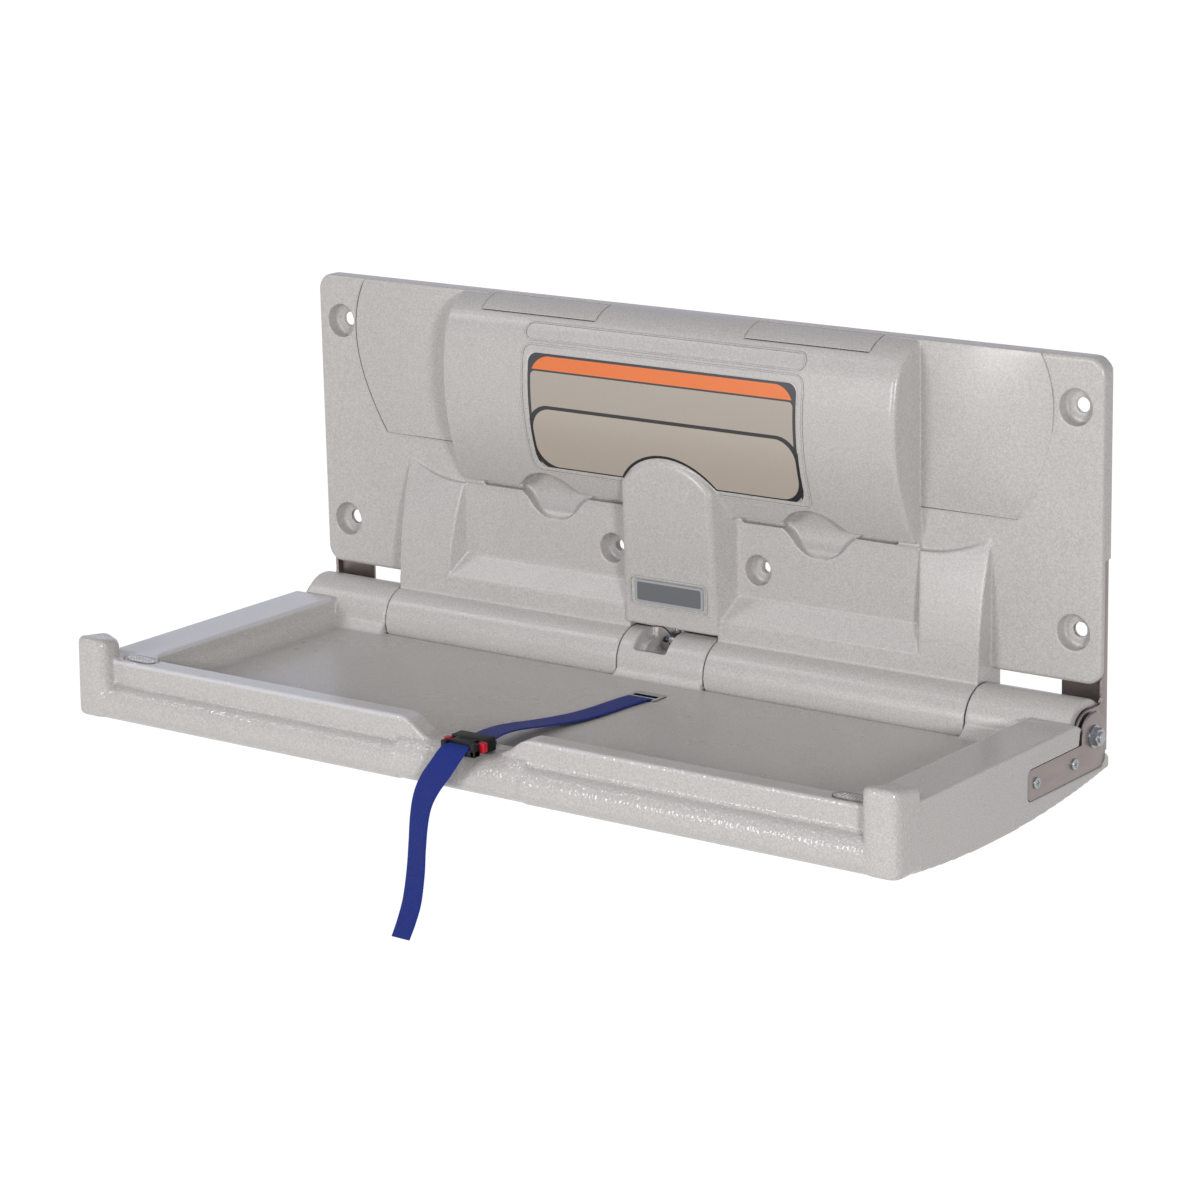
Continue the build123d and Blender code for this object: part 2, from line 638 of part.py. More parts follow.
def lid_pins():
    """Four steel pins, two to a lid, fixed in the panel at their outer halves."""
    pins = []
    for side in (-1, 1):
        end = COMPARTMENT_MIDDLE_X + side * LID_WIDTH / 2
        inner = end - side * (LID_PIN_LENGTH / 2 - LID_GAP)
        outer = end + side * LID_PIN_LENGTH / 2
        pin = rod_x(LID_PIN_RADIUS, min(inner, outer), max(inner, outer), LID_PIVOT_Y, LID_PIVOT_Z)
        pins += [pin, mirror(pin, about=Plane.YZ)]
    return Compound(children=pins)


def compartment():
    """Space for the folded liners on the right, its top mouth, its slot and its thumb cut."""
    half = COMPARTMENT_WIDTH / 2
    x0 = COMPARTMENT_MIDDLE_X - half
    x1 = COMPARTMENT_MIDDLE_X + half
    floor = SLOT_Z - SLOT_HEIGHT / 2
    ceiling = LID_LIP_Z - LID_GAP - SKIN
    ramp_y = -COMPARTMENT_BACK - RAMP_PROUD
    space = along_x(dispenser_section(SKIN, floor), x0, x1)
    space &= block(x0, x1, -DISPENSER_REACH, -COMPARTMENT_BACK, floor, ceiling)
    ramp = region(
        (0.0, floor),
        (ramp_y, floor),
        (ramp_y, SLOT_Z + RAMP_FOOT_RISE),
        (-COMPARTMENT_BACK, SLOT_Z + RAMP_TOP_RISE),
        (0.0, SLOT_Z + RAMP_TOP_RISE),
    )
    space -= along_x(ramp, x0, x1)
    mouth_half = LID_WIDTH / 2 - LID_LEDGE
    mouth = block(
        COMPARTMENT_MIDDLE_X - mouth_half,
        COMPARTMENT_MIDDLE_X + mouth_half,
        -DISPENSER_REACH + MOUTH_SETBACK,
        LID_PIVOT_Y,
        ceiling - 1.0,
        PANEL_TOP_Z + 1.0,
    )
    slot = block(x0, x1, -DISPENSER_REACH, ramp_y, floor, SLOT_Z + SLOT_HEIGHT / 2)
    return space + mouth + slot + thumb_cut()


def thumb_cut():
    """Eye-shaped cut across the slot, its ends flaring into it and its floor hollowed."""
    middle = COMPARTMENT_MIDDLE_X
    half = THUMB_WIDTH / 2
    high = SLOT_Z + THUMB_RISE
    low = SLOT_Z - THUMB_DROP

    def at(side, share, height):
        return (middle + side * half * share[0], SLOT_Z + height * share[1])

    outline = region(
        (middle - half, SLOT_Z),
        (at(-1, THUMB_FLARE, THUMB_RISE), at(-1, THUMB_BEND, THUMB_RISE)),
        ((middle, high), at(1, THUMB_BEND, THUMB_RISE)),
        (at(1, THUMB_FLARE, THUMB_RISE), (middle + half, SLOT_Z)),
        (at(1, THUMB_FLARE, -THUMB_DROP), at(1, THUMB_BEND, -THUMB_DROP)),
        ((middle, low), at(-1, THUMB_BEND, -THUMB_DROP)),
        (at(-1, THUMB_FLARE, -THUMB_DROP), (middle - half, SLOT_Z)),
    )
    hollow = rod_x(
        THUMB_FLOOR_RADIUS,
        middle - half,
        middle + half,
        THUMB_FLOOR_Y - THUMB_FLOOR_RADIUS,
        SLOT_Z - THUMB_FLOOR_DROP,
    )
    front = block(
        middle - half, middle + half, -2 * DISPENSER_REACH, THUMB_FLOOR_Y - THUMB_FLOOR_RADIUS, low, high
    )
    return along_y(outline, -DISPENSER_REACH, THUMB_FLOOR_Y + 1.0) & (hollow + front)


def wall_hole(x, z, radius, bore_radius, face_y):
    through = rod_y(radius, x, -DISPENSER_REACH, 5.0, z)
    return through + rod_y(bore_radius, x, face_y - 10.0, face_y + COUNTERBORE_DEPTH, z)


def back_pockets():
    """Hollows open to the wall that keep the moulding at an even thickness."""
    rib = RIB
    flange_floor = -FLANGE_DEPTH + SKIN
    beside = block(
        DISPENSER_HALF_FOOT + rib,
        HALF_PANEL - PAD_INSET_BOTTOM,
        flange_floor,
        1.0,
        rib,
        PANEL_TOP_Z - rib,
    )
    strip = block(
        RECESS_HALF_WIDTH + rib,
        BODY_HALF_WIDTH - SKIN,
        flange_floor,
        1.0,
        BODY_SLOPE_END[1] + rib,
        RECESS_TOP_Z - rib,
    )
    lower = block(
        MIDDLE_HOLE_SPACING / 2 + MIDDLE_BORE_RADIUS + rib,
        RECESS_HALF_WIDTH - rib,
        RECESS_FLOOR_Y + SKIN,
        1.0,
        RECESS_FLOOR_END_Z + rib / 2,
        SLOT_Z - THUMB_DROP - rib / 2,
    )
    return both_sides(beside + strip + lower)


def bracket_recess():
    """Room for the steel bracket at the lower end of the panel, one side."""
    gap = BRACKET_GAP
    side = block(
        BRACKET_INNER_X - gap,
        HALF_PANEL + 1.0,
        -BRACKET_STRIP_DEPTH - gap,
        1.0,
        -PANEL_TOP_Z - 1.0,
        BRACKET_TOP_Z + gap,
    )
    flange = block(
        BRACKET_OUTER_X - BRACKET_FLANGE_WIDTH - gap,
        HALF_PANEL,
        -BRACKET_FLANGE_THICKNESS - gap,
        1.0,
        -PANEL_TOP_Z - 1.0,
        BRACKET_FLANGE_TOP_Z + gap,
    )
    return side + flange


def spring_bay():
    """Bay behind the pillar for the gas spring, open to the wall and downwards."""
    half = BAY_WIDTH / 2
    return block(
        SPRING_X - half, SPRING_X + half, BAY_FRONT_Y, 1.0, PIVOT_Z - BARREL_RADIUS, BAY_TOP_Z
    )


def middle_knuckle_room():
    half = MIDDLE_KNUCKLE_HALF + KNUCKLE_GAP
    clear = BARREL_RADIUS + BODY_CLEARANCE
    round_room = rod_x(clear, -half, half, PIVOT_Y, PIVOT_Z)
    below = block(-half, half, -2 * DISPENSER_REACH, 1.0, PIVOT_Z - 2 * BARREL_RADIUS, PIVOT_Z)
    front = block(-half, half, -2 * DISPENSER_REACH, PIVOT_Y, PIVOT_Z, PILLAR_BOTTOM_Z)
    return round_room + below + front


def name_plate_recess():
    outline = rounded_outline(*NAME_PLATE_RECESS, 3.0, 0.0, NAME_PLATE_Z)
    return along_y(outline, PILLAR_FRONT_Y - 1.0, PILLAR_FRONT_Y + NAME_PLATE_THICKNESS)


def label_outline(inset=0.0):
    """Label face: square top, bottom edge cut by the arch of the pillar."""
    half = LABEL_HALF_WIDTH - inset
    top = LABEL_TOP_Z - inset
    low = LABEL_BOTTOM_Z + inset
    r = LABEL_CORNER_RADIUS
    bend = r * (1 - sqrt(0.5))
    arch_half = PILLAR_HALF_FRONT + inset
    return region(
        (-half + r, top),
        (half - r, top),
        ((half - bend, top - bend), (half, top - r)),
        (half, low + r),
        ((half - bend, low + bend), (half - r, low)),
        (arch_half, low),
        ((0.0, PILLAR_TOP_Z + 1.0 + inset), (-arch_half, low)),
        (-half + r, low),
        ((-half + bend, low + bend), (-half, low + r)),
        (-half, top - r),
        ((-half + bend, top - bend), (-half + r, top)),
    )


def label_layer(outer, inner, inset):
    """Label's share of the dispenser front, between two depths."""
    half = LABEL_HALF_WIDTH + 1.0
    layer = along_x(dispenser_section(outer, DISPENSER_FOOT_Z), -half, half)
    layer -= along_x(dispenser_section(inner, DISPENSER_FOOT_Z), -half, half)
    return layer & along_y(label_outline(inset), -DISPENSER_REACH - 5.0, -FLANGE_DEPTH)


def wall_panel():
    panel = panel_flange() + both_sides(side_pad()) + lower_body()
    panel += dispenser_shape() + pillar()
    panel -= both_sides(compartment())
    panel -= both_sides(lid_room())
    panel -= label_layer(-1.0, LABEL_THICKNESS, 0.0) - pillar()
    for side in (-1, 1):
        for z in (-HOLE_SPACING_Z / 2, HOLE_SPACING_Z / 2):
            panel -= wall_hole(
                side * HOLE_SPACING_X / 2, z, HOLE_RADIUS, COUNTERBORE_RADIUS, -FLANGE_DEPTH
            )
        panel -= wall_hole(
            side * MIDDLE_HOLE_SPACING / 2,
            MIDDLE_HOLE_Z,
            MIDDLE_HOLE_RADIUS,
            MIDDLE_BORE_RADIUS,
            RECESS_FLOOR_Y,
        )
    panel -= back_pockets() + both_sides(bracket_recess())
    panel -= spring_bay() + middle_knuckle_room() + name_plate_recess()
    panel -= rod_x(
        ROD_RADIUS + RUNNING_CLEARANCE, -BODY_HALF_WIDTH - 1.0, BODY_HALF_WIDTH + 1.0, PIVOT_Y, PIVOT_Z
    )
    for pin in lid_pins().solids():
        panel -= pin
    return panel


def wall_bracket():
    """Right-hand steel bracket: a strip beside the panel, a lobe round the hinge, a rear flange."""
    lobe_top = PIVOT_Z + BRACKET_LOBE_RADIUS
    bend = BRACKET_BEND_RADIUS
    edge = bend * (1 - sqrt(0.5))
    strip = region(
        (0.0, BRACKET_TOP_Z),
        (-BRACKET_STRIP_DEPTH, BRACKET_TOP_Z),
        (-BRACKET_STRIP_DEPTH, lobe_top + bend),
        ((-BRACKET_STRIP_DEPTH - edge, lobe_top + edge), (-BRACKET_STRIP_DEPTH - bend, lobe_top)),
        (PIVOT_Y, lobe_top),
        (PIVOT_Y, PIVOT_Z),
        (-BRACKET_FOOT_DEPTH, PIVOT_Z - BRACKET_FOOT_DROP),
        (0.0, PIVOT_Z - BRACKET_FOOT_DROP - BRACKET_FOOT_SLOPE),
    )
    plate = along_x(strip, BRACKET_INNER_X, BRACKET_OUTER_X)
    plate += rod_x(BRACKET_LOBE_RADIUS, BRACKET_INNER_X, BRACKET_OUTER_X, PIVOT_Y, PIVOT_Z)
    flange = block(
        BRACKET_OUTER_X - BRACKET_FLANGE_WIDTH,
        BRACKET_OUTER_X,
        -BRACKET_FLANGE_THICKNESS,
        0.0,
        BRACKET_FLANGE_BOTTOM_Z,
        BRACKET_FLANGE_TOP_Z,
    )
    hole = rod_y(HOLE_RADIUS, HOLE_SPACING_X / 2, -10.0, 10.0, -HOLE_SPACING_Z / 2)
    axle = rod_x(ROD_RADIUS + RUNNING_CLEARANCE, BRACKET_INNER_X - 1, BRACKET_OUTER_X + 1, PIVOT_Y, PIVOT_Z)
    stop_y, stop_z = polar(STOP_RADIUS, STOP_REST_ANGLE)
    stop = rod_x(STOP_PIN_RADIUS, BRACKET_INNER_X - 1, BRACKET_OUTER_X + 1, stop_y, stop_z)
    return plate + flange - hole - axle - stop


def stop_screws():
    """A screw in each bracket whose plain end runs in a curved slot of the tray's end knuckle."""
    stop_y, stop_z = polar(STOP_RADIUS, STOP_REST_ANGLE)
    shank = rod_x(
        STOP_PIN_RADIUS,
        BRACKET_INNER_X - STOP_PIN_LENGTH,
        BRACKET_OUTER_X,
        stop_y,
        stop_z,
    )
    head_end = BRACKET_OUTER_X + STOP_HEAD_HEIGHT
    head = rod_x(STOP_PIN_RADIUS + STOP_HEAD_OVERHANG, BRACKET_OUTER_X, head_end, stop_y, stop_z)
    screw = shank + fillet(head.edges().group_by(Axis.X)[-1], STOP_HEAD_HEIGHT / 2)
    return Compound(children=[screw, mirror(screw, about=Plane.YZ)])


def stop_slot():
    """Curved slot in the end knuckle, long enough for the whole fold."""
    reach = degrees((STOP_PIN_RADIUS + STOP_CLEARANCE) / STOP_RADIUS)
    half = STOP_PIN_RADIUS + STOP_CLEARANCE
    band = sector(
        STOP_RADIUS - half,
        STOP_RADIUS + half,
        STOP_REST_ANGLE - reach,
        STOP_REST_ANGLE + FOLD_ANGLE + reach,
    )
    return along_x(band, KNUCKLE_END_X - STOP_PIN_LENGTH, KNUCKLE_END_X + 1.0)


def belly_region(raise_by, front_y, rear_y, top_z):
    """Section of the tray between a level top and the bowed underside, raised by a wall."""
    front = (front_y, BELLY_FRONT[1] + raise_by)
    rear = (rear_y, BELLY_REAR[1] + raise_by)
    middle = (BELLY_MIDDLE[0], BELLY_MIDDLE[1] + raise_by)
    return region((front_y, top_z), front, (middle, rear), (rear_y, top_z))


def tray_section():
    """Outer section of the tray at its sides: bar, lip, rim, rear and bowed underside."""
    crest_y = TRAY_FRONT_Y
    return region(
        (LIP_FRONT_Y, RIM_Z),
        (LIP_FRONT_Y, LIP_FOOT_Z),
        (LIP_FRONT_Y - 1.0, BAR_TOP_Z),
        ((crest_y + 3.0, BAR_CREST_Z + 9.0), (crest_y, BAR_CREST_Z)),
        (crest_y, BAR_CREST_Z - 6.0),
        ((crest_y + 5.0, BELLY_FRONT[1] + 5.0), BELLY_FRONT),
        (BELLY_MIDDLE, BELLY_REAR),
        (TRAY_REAR_Y, PIVOT_Z - ROD_RADIUS),
        (PIVOT_Y, PIVOT_Z),
        (PIVOT_Y - BARREL_RADIUS, RIM_Z),
    )


def well():
    """Open space over the deck: straight down at the sides, rounded at the floor."""
    half = TRAY_HALF_WIDTH - RIM_BAND
    rear = PIVOT_Y - BARREL_RADIUS
    outline = Pos(0, (WELL_FRONT_Y + rear) / 2) * Rectangle(2 * half, rear - WELL_FRONT_Y)
    space = along_z(outline, DECK_Z, RIM_Z + 30.0)
    front_corners = space.edges().filter_by(Axis.Z).group_by(Axis.Y)[0]
    space = fillet(front_corners, WELL_CORNER_RADIUS)
    floor = [e for e in space.faces().sort_by(Axis.Z)[0].edges() if e.center().Y < rear - 1.0]
    return fillet(floor, WELL_FLOOR_RADIUS)


def posts():
    """Corner post on the right: rises from the bar, slopes down to the back, scooped top."""
    plan = region(
        (POST_INNER_X, TRAY_FRONT_Y),
        (TRAY_HALF_WIDTH, TRAY_FRONT_Y),
        (TRAY_HALF_WIDTH, TRAY_FRONT_Y + POST_DEPTH_OUTER),
        (POST_INNER_X, TRAY_FRONT_Y + POST_DEPTH_INNER),
    )
    column = along_z(plan, BAR_CREST_Z - 6.0, POST_TOP_Z)
    slope = region(
        (TRAY_FRONT_Y - 1.0, POST_TOP_Z),
        (TRAY_FRONT_Y - 1.0, POST_TOP_Z + 20.0),
        (TRAY_FRONT_Y + POST_DEPTH_OUTER + 1.0, POST_TOP_Z + 20.0),
        (TRAY_FRONT_Y + POST_DEPTH_OUTER + 1.0, POST_BACK_Z),
    )
    column -= along_x(slope, POST_INNER_X - 1.0, TRAY_HALF_WIDTH + 1.0)
    middle = (POST_INNER_X + TRAY_HALF_WIDTH) / 2
    scoop = rod_y(
        POST_SCOOP_RADIUS,
        middle,
        TRAY_FRONT_Y - 5.0,
        TRAY_FRONT_Y + POST_DEPTH_OUTER + 5.0,
        POST_TOP_Z + POST_SCOOP_RADIUS - POST_SCOOP_DEPTH,
    )
    inner = column.edges().filter_by(Axis.Z).group_by(Axis.X)[0]
    return fillet(inner, 4.0) - scoop


def tray_corner_cut():
    """What is cut away to round the tray's right front corner, from the belly to the post."""
    r = TRAY_CORNER_RADIUS
    bend = r * (1 - sqrt(0.5))
    far = 2 * r
    front = TRAY_FRONT_Y
    side = TRAY_HALF_WIDTH
    outline = region(
        (side - r, front),
        ((side - bend, front + bend), (side, front + r)),
        (side + far, front + r),
        (side + far, front - far),
        (side - r, front - far),
    )
    return along_z(outline, BELLY_MIDDLE[1] - 10.0, RIM_Z + 40.0)


def saddle():
    """S-sided dip in the front lip, down to the grip."""
    rise = SADDLE_CURVE
    shoulder = SADDLE_HALF_TOP - SADDLE_HALF_FLOOR
    middle_x = SADDLE_HALF_FLOOR + shoulder / 2
    middle_z = (SADDLE_Z + RIM_Z) / 2
    top = RIM_Z + 30.0
    outline = region(
        (-SADDLE_HALF_FLOOR, SADDLE_Z),
        (SADDLE_HALF_FLOOR, SADDLE_Z),
        ((SADDLE_HALF_FLOOR + shoulder * 0.32, SADDLE_Z + rise * 0.55), (middle_x, middle_z)),
        ((SADDLE_HALF_TOP - shoulder * 0.28, RIM_Z - rise * 0.45), (SADDLE_HALF_TOP, RIM_Z)),
        (SADDLE_HALF_TOP, top),
        (-SADDLE_HALF_TOP, top),
        (-SADDLE_HALF_TOP, RIM_Z),
        ((-SADDLE_HALF_TOP + shoulder * 0.28, RIM_Z - rise * 0.45), (-middle_x, middle_z)),
        ((-SADDLE_HALF_FLOOR - shoulder * 0.32, SADDLE_Z + rise * 0.55), (-SADDLE_HALF_FLOOR, SADDLE_Z)),
    )
    return along_y(outline, TRAY_FRONT_Y - 2.0, WELL_FRONT_Y + 20.0)


def grip():
    """Smooth rounded middle of the bar, set a little below the bar's own surface."""
    front = TRAY_FRONT_Y + GRIP_RECESS
    section = region(
        (WELL_FRONT_Y - 2.0, SADDLE_Z),
        (LIP_FRONT_Y + 2.0, SADDLE_Z),
        ((front + 5.5, SADDLE_Z - 7.0), (front, BAR_CREST_Z)),
        ((front + 6.0, BELLY_FRONT[1] + 4.0), (BELLY_FRONT[0], BELLY_FRONT[1] + GRIP_RECESS)),
        (BELLY_FRONT[0] + 6.0, BELLY_FRONT[1] + 6.0),
        (WELL_FRONT_Y - 2.0, BELLY_FRONT[1] + 6.0),
    )
    return along_x(section, -GRIP_HALF_LENGTH, GRIP_HALF_LENGTH)


def grip_room():
    half = GRIP_HALF_LENGTH
    return block(-half, half, TRAY_FRONT_Y - 1.0, LIP_FRONT_Y + 2.0, BELLY_FRONT[1] - 2.0, SADDLE_Z)


def end_knuckle():
    """Right-hand end of the tray's hinge, with the run of base under it."""
    x0 = BODY_HALF_WIDTH + KNUCKLE_GAP
    barrel = rod_x(BARREL_RADIUS, x0, KNUCKLE_END_X, PIVOT_Y, PIVOT_Z)
    base = region(
        (PIVOT_Y - BARREL_RADIUS - 10.0, DECK_Z),
        (PIVOT_Y - BARREL_RADIUS - 10.0, BELLY_REAR[1] - 8.0),
        (PIVOT_Y, BELLY_REAR[1] - 4.0),
        (TRAY_REAR_Y, BELLY_REAR[1]),
        (TRAY_REAR_Y, PIVOT_Z - ROD_RADIUS),
        (PIVOT_Y, PIVOT_Z),
        (PIVOT_Y - BARREL_RADIUS, PIVOT_Z),
    )
    return barrel + along_x(base, x0, KNUCKLE_END_X)


def middle_knuckle():
    half = MIDDLE_KNUCKLE_HALF
    rear = PIVOT_Y - BARREL_RADIUS
    barrel = rod_x(BARREL_RADIUS, -half, half, PIVOT_Y, PIVOT_Z)
    web = region(
        (rear - 6.0, DECK_Z),
        (rear - 6.0, BELLY_REAR[1] - 10.0),
        (PIVOT_Y, PIVOT_Z - BARREL_RADIUS),
        (PIVOT_Y, PIVOT_Z),
        (rear, PIVOT_Z - 4.0),
    )
    knuckle = barrel + along_x(web, -half, half)
    slot_half = SLOT_WIDTH / 2
    far = BARREL_RADIUS + 10.0
    knuckle -= along_x(sector(SLEEVE_RADIUS, far, *SLOT_ANGLES), SPRING_X - slot_half, SPRING_X + slot_half)
    flare = sector(SLOT_FLARE_RADIUS, far, SLOT_FLARE_START, SLOT_ANGLES[1])
    knuckle -= along_x(flare, SPRING_X - slot_half - SLOT_FLARE, SPRING_X + slot_half + SLOT_FLARE)
    grip_half = SLOT_WIDTH / 2 + CRANK_PIN_GRIP
    return knuckle - rod_x(CRANK_PIN_RADIUS, SPRING_X - grip_half, SPRING_X + grip_half, CRANK_Y, CRANK_Z)


def arm_outline(gap=0.0):
    """Section of the arm plate in Y and Z: a bar with a lobe round the hinge."""
    return region(
        (ARM_FRONT_Y - gap, ARM_BOTTOM_Z - gap),
        (ARM_HEEL_Y - ARM_HEEL_CHAMFER, ARM_BOTTOM_Z - gap),
        (ARM_HEEL_Y + gap, ARM_BOTTOM_Z + ARM_HEEL_CHAMFER),
        (ARM_HEEL_Y + gap, PIVOT_Z),
        (PIVOT_Y, PIVOT_Z),
        (PIVOT_Y - ARM_LOBE_RADIUS, ARM_TOP_Z + gap),
        (ARM_FRONT_Y - gap, ARM_TOP_Z + gap),
    )


def arm_shape(x0, x1, gap=0.0):
    shape = along_x(arm_outline(gap), x0, x1)
    front = shape.edges().filter_by(Axis.X).group_by(Axis.Y)[0]
    shape = fillet(front, ARM_CORNER_RADIUS)
    return shape + rod_x(ARM_LOBE_RADIUS + gap, x0, x1, PIVOT_Y, PIVOT_Z)


def arm_plate():
    plate = arm_shape(ARM_INNER_X, ARM_OUTER_X)
    plate -= rod_x(ROD_RADIUS + RUNNING_CLEARANCE, ARM_INNER_X - 1, ARM_OUTER_X + 1, PIVOT_Y, PIVOT_Z)
    for y in ARM_SCREW_Y:
        plate -= rod_x(ARM_SCREW_RADIUS, ARM_INNER_X - 1, ARM_OUTER_X + 1, y, ARM_SCREW_Z)
    return plate


def arm_screws():
    screws = []
    for y in ARM_SCREW_Y:
        z = ARM_SCREW_Z
        outer = ARM_OUTER_X + ARM_SCREW_HEAD_HEIGHT
        head = rod_x(ARM_SCREW_HEAD_RADIUS, ARM_OUTER_X, ARM_OUTER_X + ARM_SCREW_HEAD_HEIGHT, y, z)
        head = fillet(head.edges().group_by(Axis.X)[-1], ARM_SCREW_HEAD_HEIGHT * 0.6)
        screw = head + rod_x(ARM_SCREW_RADIUS, ARM_OUTER_X - ARM_SCREW_LENGTH, ARM_OUTER_X, y, z)
        long = DRIVER_WIDTH / 2
        short = DRIVER_SLOT / 2
        x0 = outer - DRIVER_DEPTH
        screw -= block(x0, outer + 1, y - long, y + long, z - short, z + short)
        screw -= block(x0, outer + 1, y - short, y + short, z - long, z + long)
        screws += [screw, mirror(screw, about=Plane.YZ)]
    return Compound(children=screws)


def tray_side_cuts():
    """Room in the tray's right side for the arm plate, the bracket and the screws."""
    cuts = arm_shape(ARM_INNER_X, TRAY_HALF_WIDTH + 2.0, ARM_SEAT_GAP)
    cuts += rod_x(LOBE_POCKET_RADIUS, KNUCKLE_END_X, TRAY_HALF_WIDTH + 2.0, PIVOT_Y, PIVOT_Z)
    rear = sector(0.1, REAR_POCKET_RADIUS, *REAR_POCKET_ANGLES)
    cuts += along_x(rear, KNUCKLE_END_X, TRAY_HALF_WIDTH + 2.0)
    for y in ARM_SCREW_Y:
        cuts += rod_x(ARM_SCREW_RADIUS, ARM_OUTER_X - ARM_SCREW_LENGTH, ARM_INNER_X + 1, y, ARM_SCREW_Z)
    return cuts + stop_slot()


def tray_void():
    """Closed hollow between the deck and the underside."""
    half = TRAY_HALF_WIDTH - RIM_BAND / 2
    front = WELL_FRONT_Y + TRAY_WALL
    rear = PIVOT_Y - BARREL_RADIUS - 3 * TRAY_WALL
    section = belly_region(TRAY_WALL, front, rear, DECK_Z - TRAY_WALL)
    return along_x(section, -half, half)


def strap_pocket():
    """Well under the strap plate, with a seat for the plate."""
    x, y = STRAP_PLATE_AT
    width, depth = STRAP_PLATE_SIZE
    seat = block(
        x - width / 2 - STRAP_PLATE_GAP,
        x + width / 2 + STRAP_PLATE_GAP,
        y - depth / 2 - STRAP_PLATE_GAP,
        y + depth / 2 + STRAP_PLATE_GAP,
        DECK_Z - STRAP_PLATE_THICKNESS / 2,
        DECK_Z + 10,
    )
    pocket = block(
        x - width / 2 + 3,
        x + width / 2 - 3,
        y - depth / 2 + 3,
        y + depth / 2 - 3,
        DECK_Z - ANCHOR_POCKET_DEPTH,
        DECK_Z,
    )
    return seat, pocket


def strap_pocket_walls():
    x, y = STRAP_PLATE_AT
    width, depth = STRAP_PLATE_SIZE
    wall = TRAY_WALL
    return block(
        x - width / 2 - wall,
        x + width / 2 + wall,
        y - depth / 2 - wall,
        y + depth / 2 + wall,
        DECK_Z - ANCHOR_POCKET_DEPTH - wall,
        DECK_Z - wall / 2,
    )


def tray_moulding():
    rear = PIVOT_Y - BARREL_RADIUS - TRAY_BARREL_GAP
    tray = along_x(tray_section(), -TRAY_HALF_WIDTH, TRAY_HALF_WIDTH)
    # between the end knuckles the tray stops short of the barrels
    middle = BODY_HALF_WIDTH + KNUCKLE_GAP
    tray -= block(-middle, middle, rear, 20.0, BELLY_MIDDLE[1] - 10.0, RIM_Z + 30.0)
    tray -= well()
    # the rim runs back over the end knuckles only outside the well
    inner = TRAY_HALF_WIDTH - RIM_BAND
    tray -= both_sides(
        block(middle, inner, PIVOT_Y - BARREL_RADIUS - 1.0, 20.0, DECK_Z, RIM_Z + 30.0)
    )
    tray -= both_sides(
        block(inner - 1.0, TRAY_HALF_WIDTH + 1.0, PIVOT_Y, 20.0, PIVOT_Z, RIM_Z + 30.0)
    )
    tray -= saddle() + grip_room()
    tray += grip() - well()
    tray += both_sides(posts())
    tray -= both_sides(tray_corner_cut())
    tray -= tray_void()
    tray += strap_pocket_walls()
    tray += both_sides(end_knuckle()) + middle_knuckle()
    tray -= both_sides(tray_side_cuts())
    seat, pocket = strap_pocket()
    tray -= seat + pocket
    tray -= anchor_bar()
    bore = ROD_RADIUS + BUSH_WALL
    for x0, x1 in bush_spans():
        tray -= rod_x(bore, x0, x1, PIVOT_Y, PIVOT_Z)
    clear = ROD_RADIUS + 2 * RUNNING_CLEARANCE
    tray -= rod_x(clear, -TRAY_HALF_WIDTH - 1.0, TRAY_HALF_WIDTH + 1.0, PIVOT_Y, PIVOT_Z)
    tray -= corner_pads(BODY_CLEARANCE / 2)
    return tray


def bush_spans():
    """Where the nylon bushes sit: the outer face of each end knuckle, and both middle faces."""
    end = KNUCKLE_END_X
    inner = BODY_HALF_WIDTH + KNUCKLE_GAP
    middle = MIDDLE_KNUCKLE_HALF
    spans = []
    for a, b in ((end - BUSH_LENGTH, end), (inner, inner + BUSH_LENGTH), (middle - BUSH_LENGTH / 2, middle)):
        spans += [(a, b), (-b, -a)]
    return spans


def hinge_bushes():
    bushes = []
    for x0, x1 in bush_spans():
        bush = rod_x(ROD_RADIUS + BUSH_WALL, x0, x1, PIVOT_Y, PIVOT_Z)
        bush -= rod_x(ROD_RADIUS + RUNNING_CLEARANCE, x0 - 1, x1 + 1, PIVOT_Y, PIVOT_Z)
        bushes.append(bush)
    return Compound(children=bushes)


def hinge_rod():
    rod = rod_x(ROD_RADIUS, -ROD_END_X, ROD_END_X, PIVOT_Y, PIVOT_Z)
    ends = rod.edges().group_by(Axis.X)
    return chamfer(ends[0] + ends[-1], 1.0)


def ring(outer, inner, x0, x1):
    solid = rod_x(outer, x0, x1, PIVOT_Y, PIVOT_Z)
    return solid - rod_x(inner, x0 - 1, x1 + 1, PIVOT_Y, PIVOT_Z)


def pair(solid):
    return Compound(children=[solid, mirror(solid, about=Plane.YZ)])


def spacer_washers():
    """Nylon washers that keep the arm plates off the brackets."""
    bore = ROD_RADIUS + RUNNING_CLEARANCE
    return pair(ring(WASHER_RADIUS, bore, BRACKET_OUTER_X, ARM_INNER_X - WASHER_GAP))


def hinge_washers():
    bore = ROD_RADIUS + RUNNING_CLEARANCE
    start = ARM_OUTER_X + WASHER_GAP
    return pair(ring(WASHER_RADIUS, bore, start, start + WASHER_THICKNESS))


def hinge_nuts():
    start = ARM_OUTER_X + WASHER_GAP + WASHER_THICKNESS
    hexagon = RegularPolygon(NUT_ACROSS_FLATS / 2, 6, major_radius=False)
    nut = along_x(Pos(PIVOT_Y, PIVOT_Z) * hexagon, start, start + NUT_HEIGHT)
    dome = rod_x(NUT_ACROSS_FLATS * 0.56, start, start + NUT_HEIGHT, PIVOT_Y, PIVOT_Z)
    nut &= chamfer(dome.edges().group_by(Axis.X)[-1], 1.0)
    return pair(nut - rod_x(ROD_RADIUS, start - 1, start + NUT_HEIGHT + 1, PIVOT_Y, PIVOT_Z))


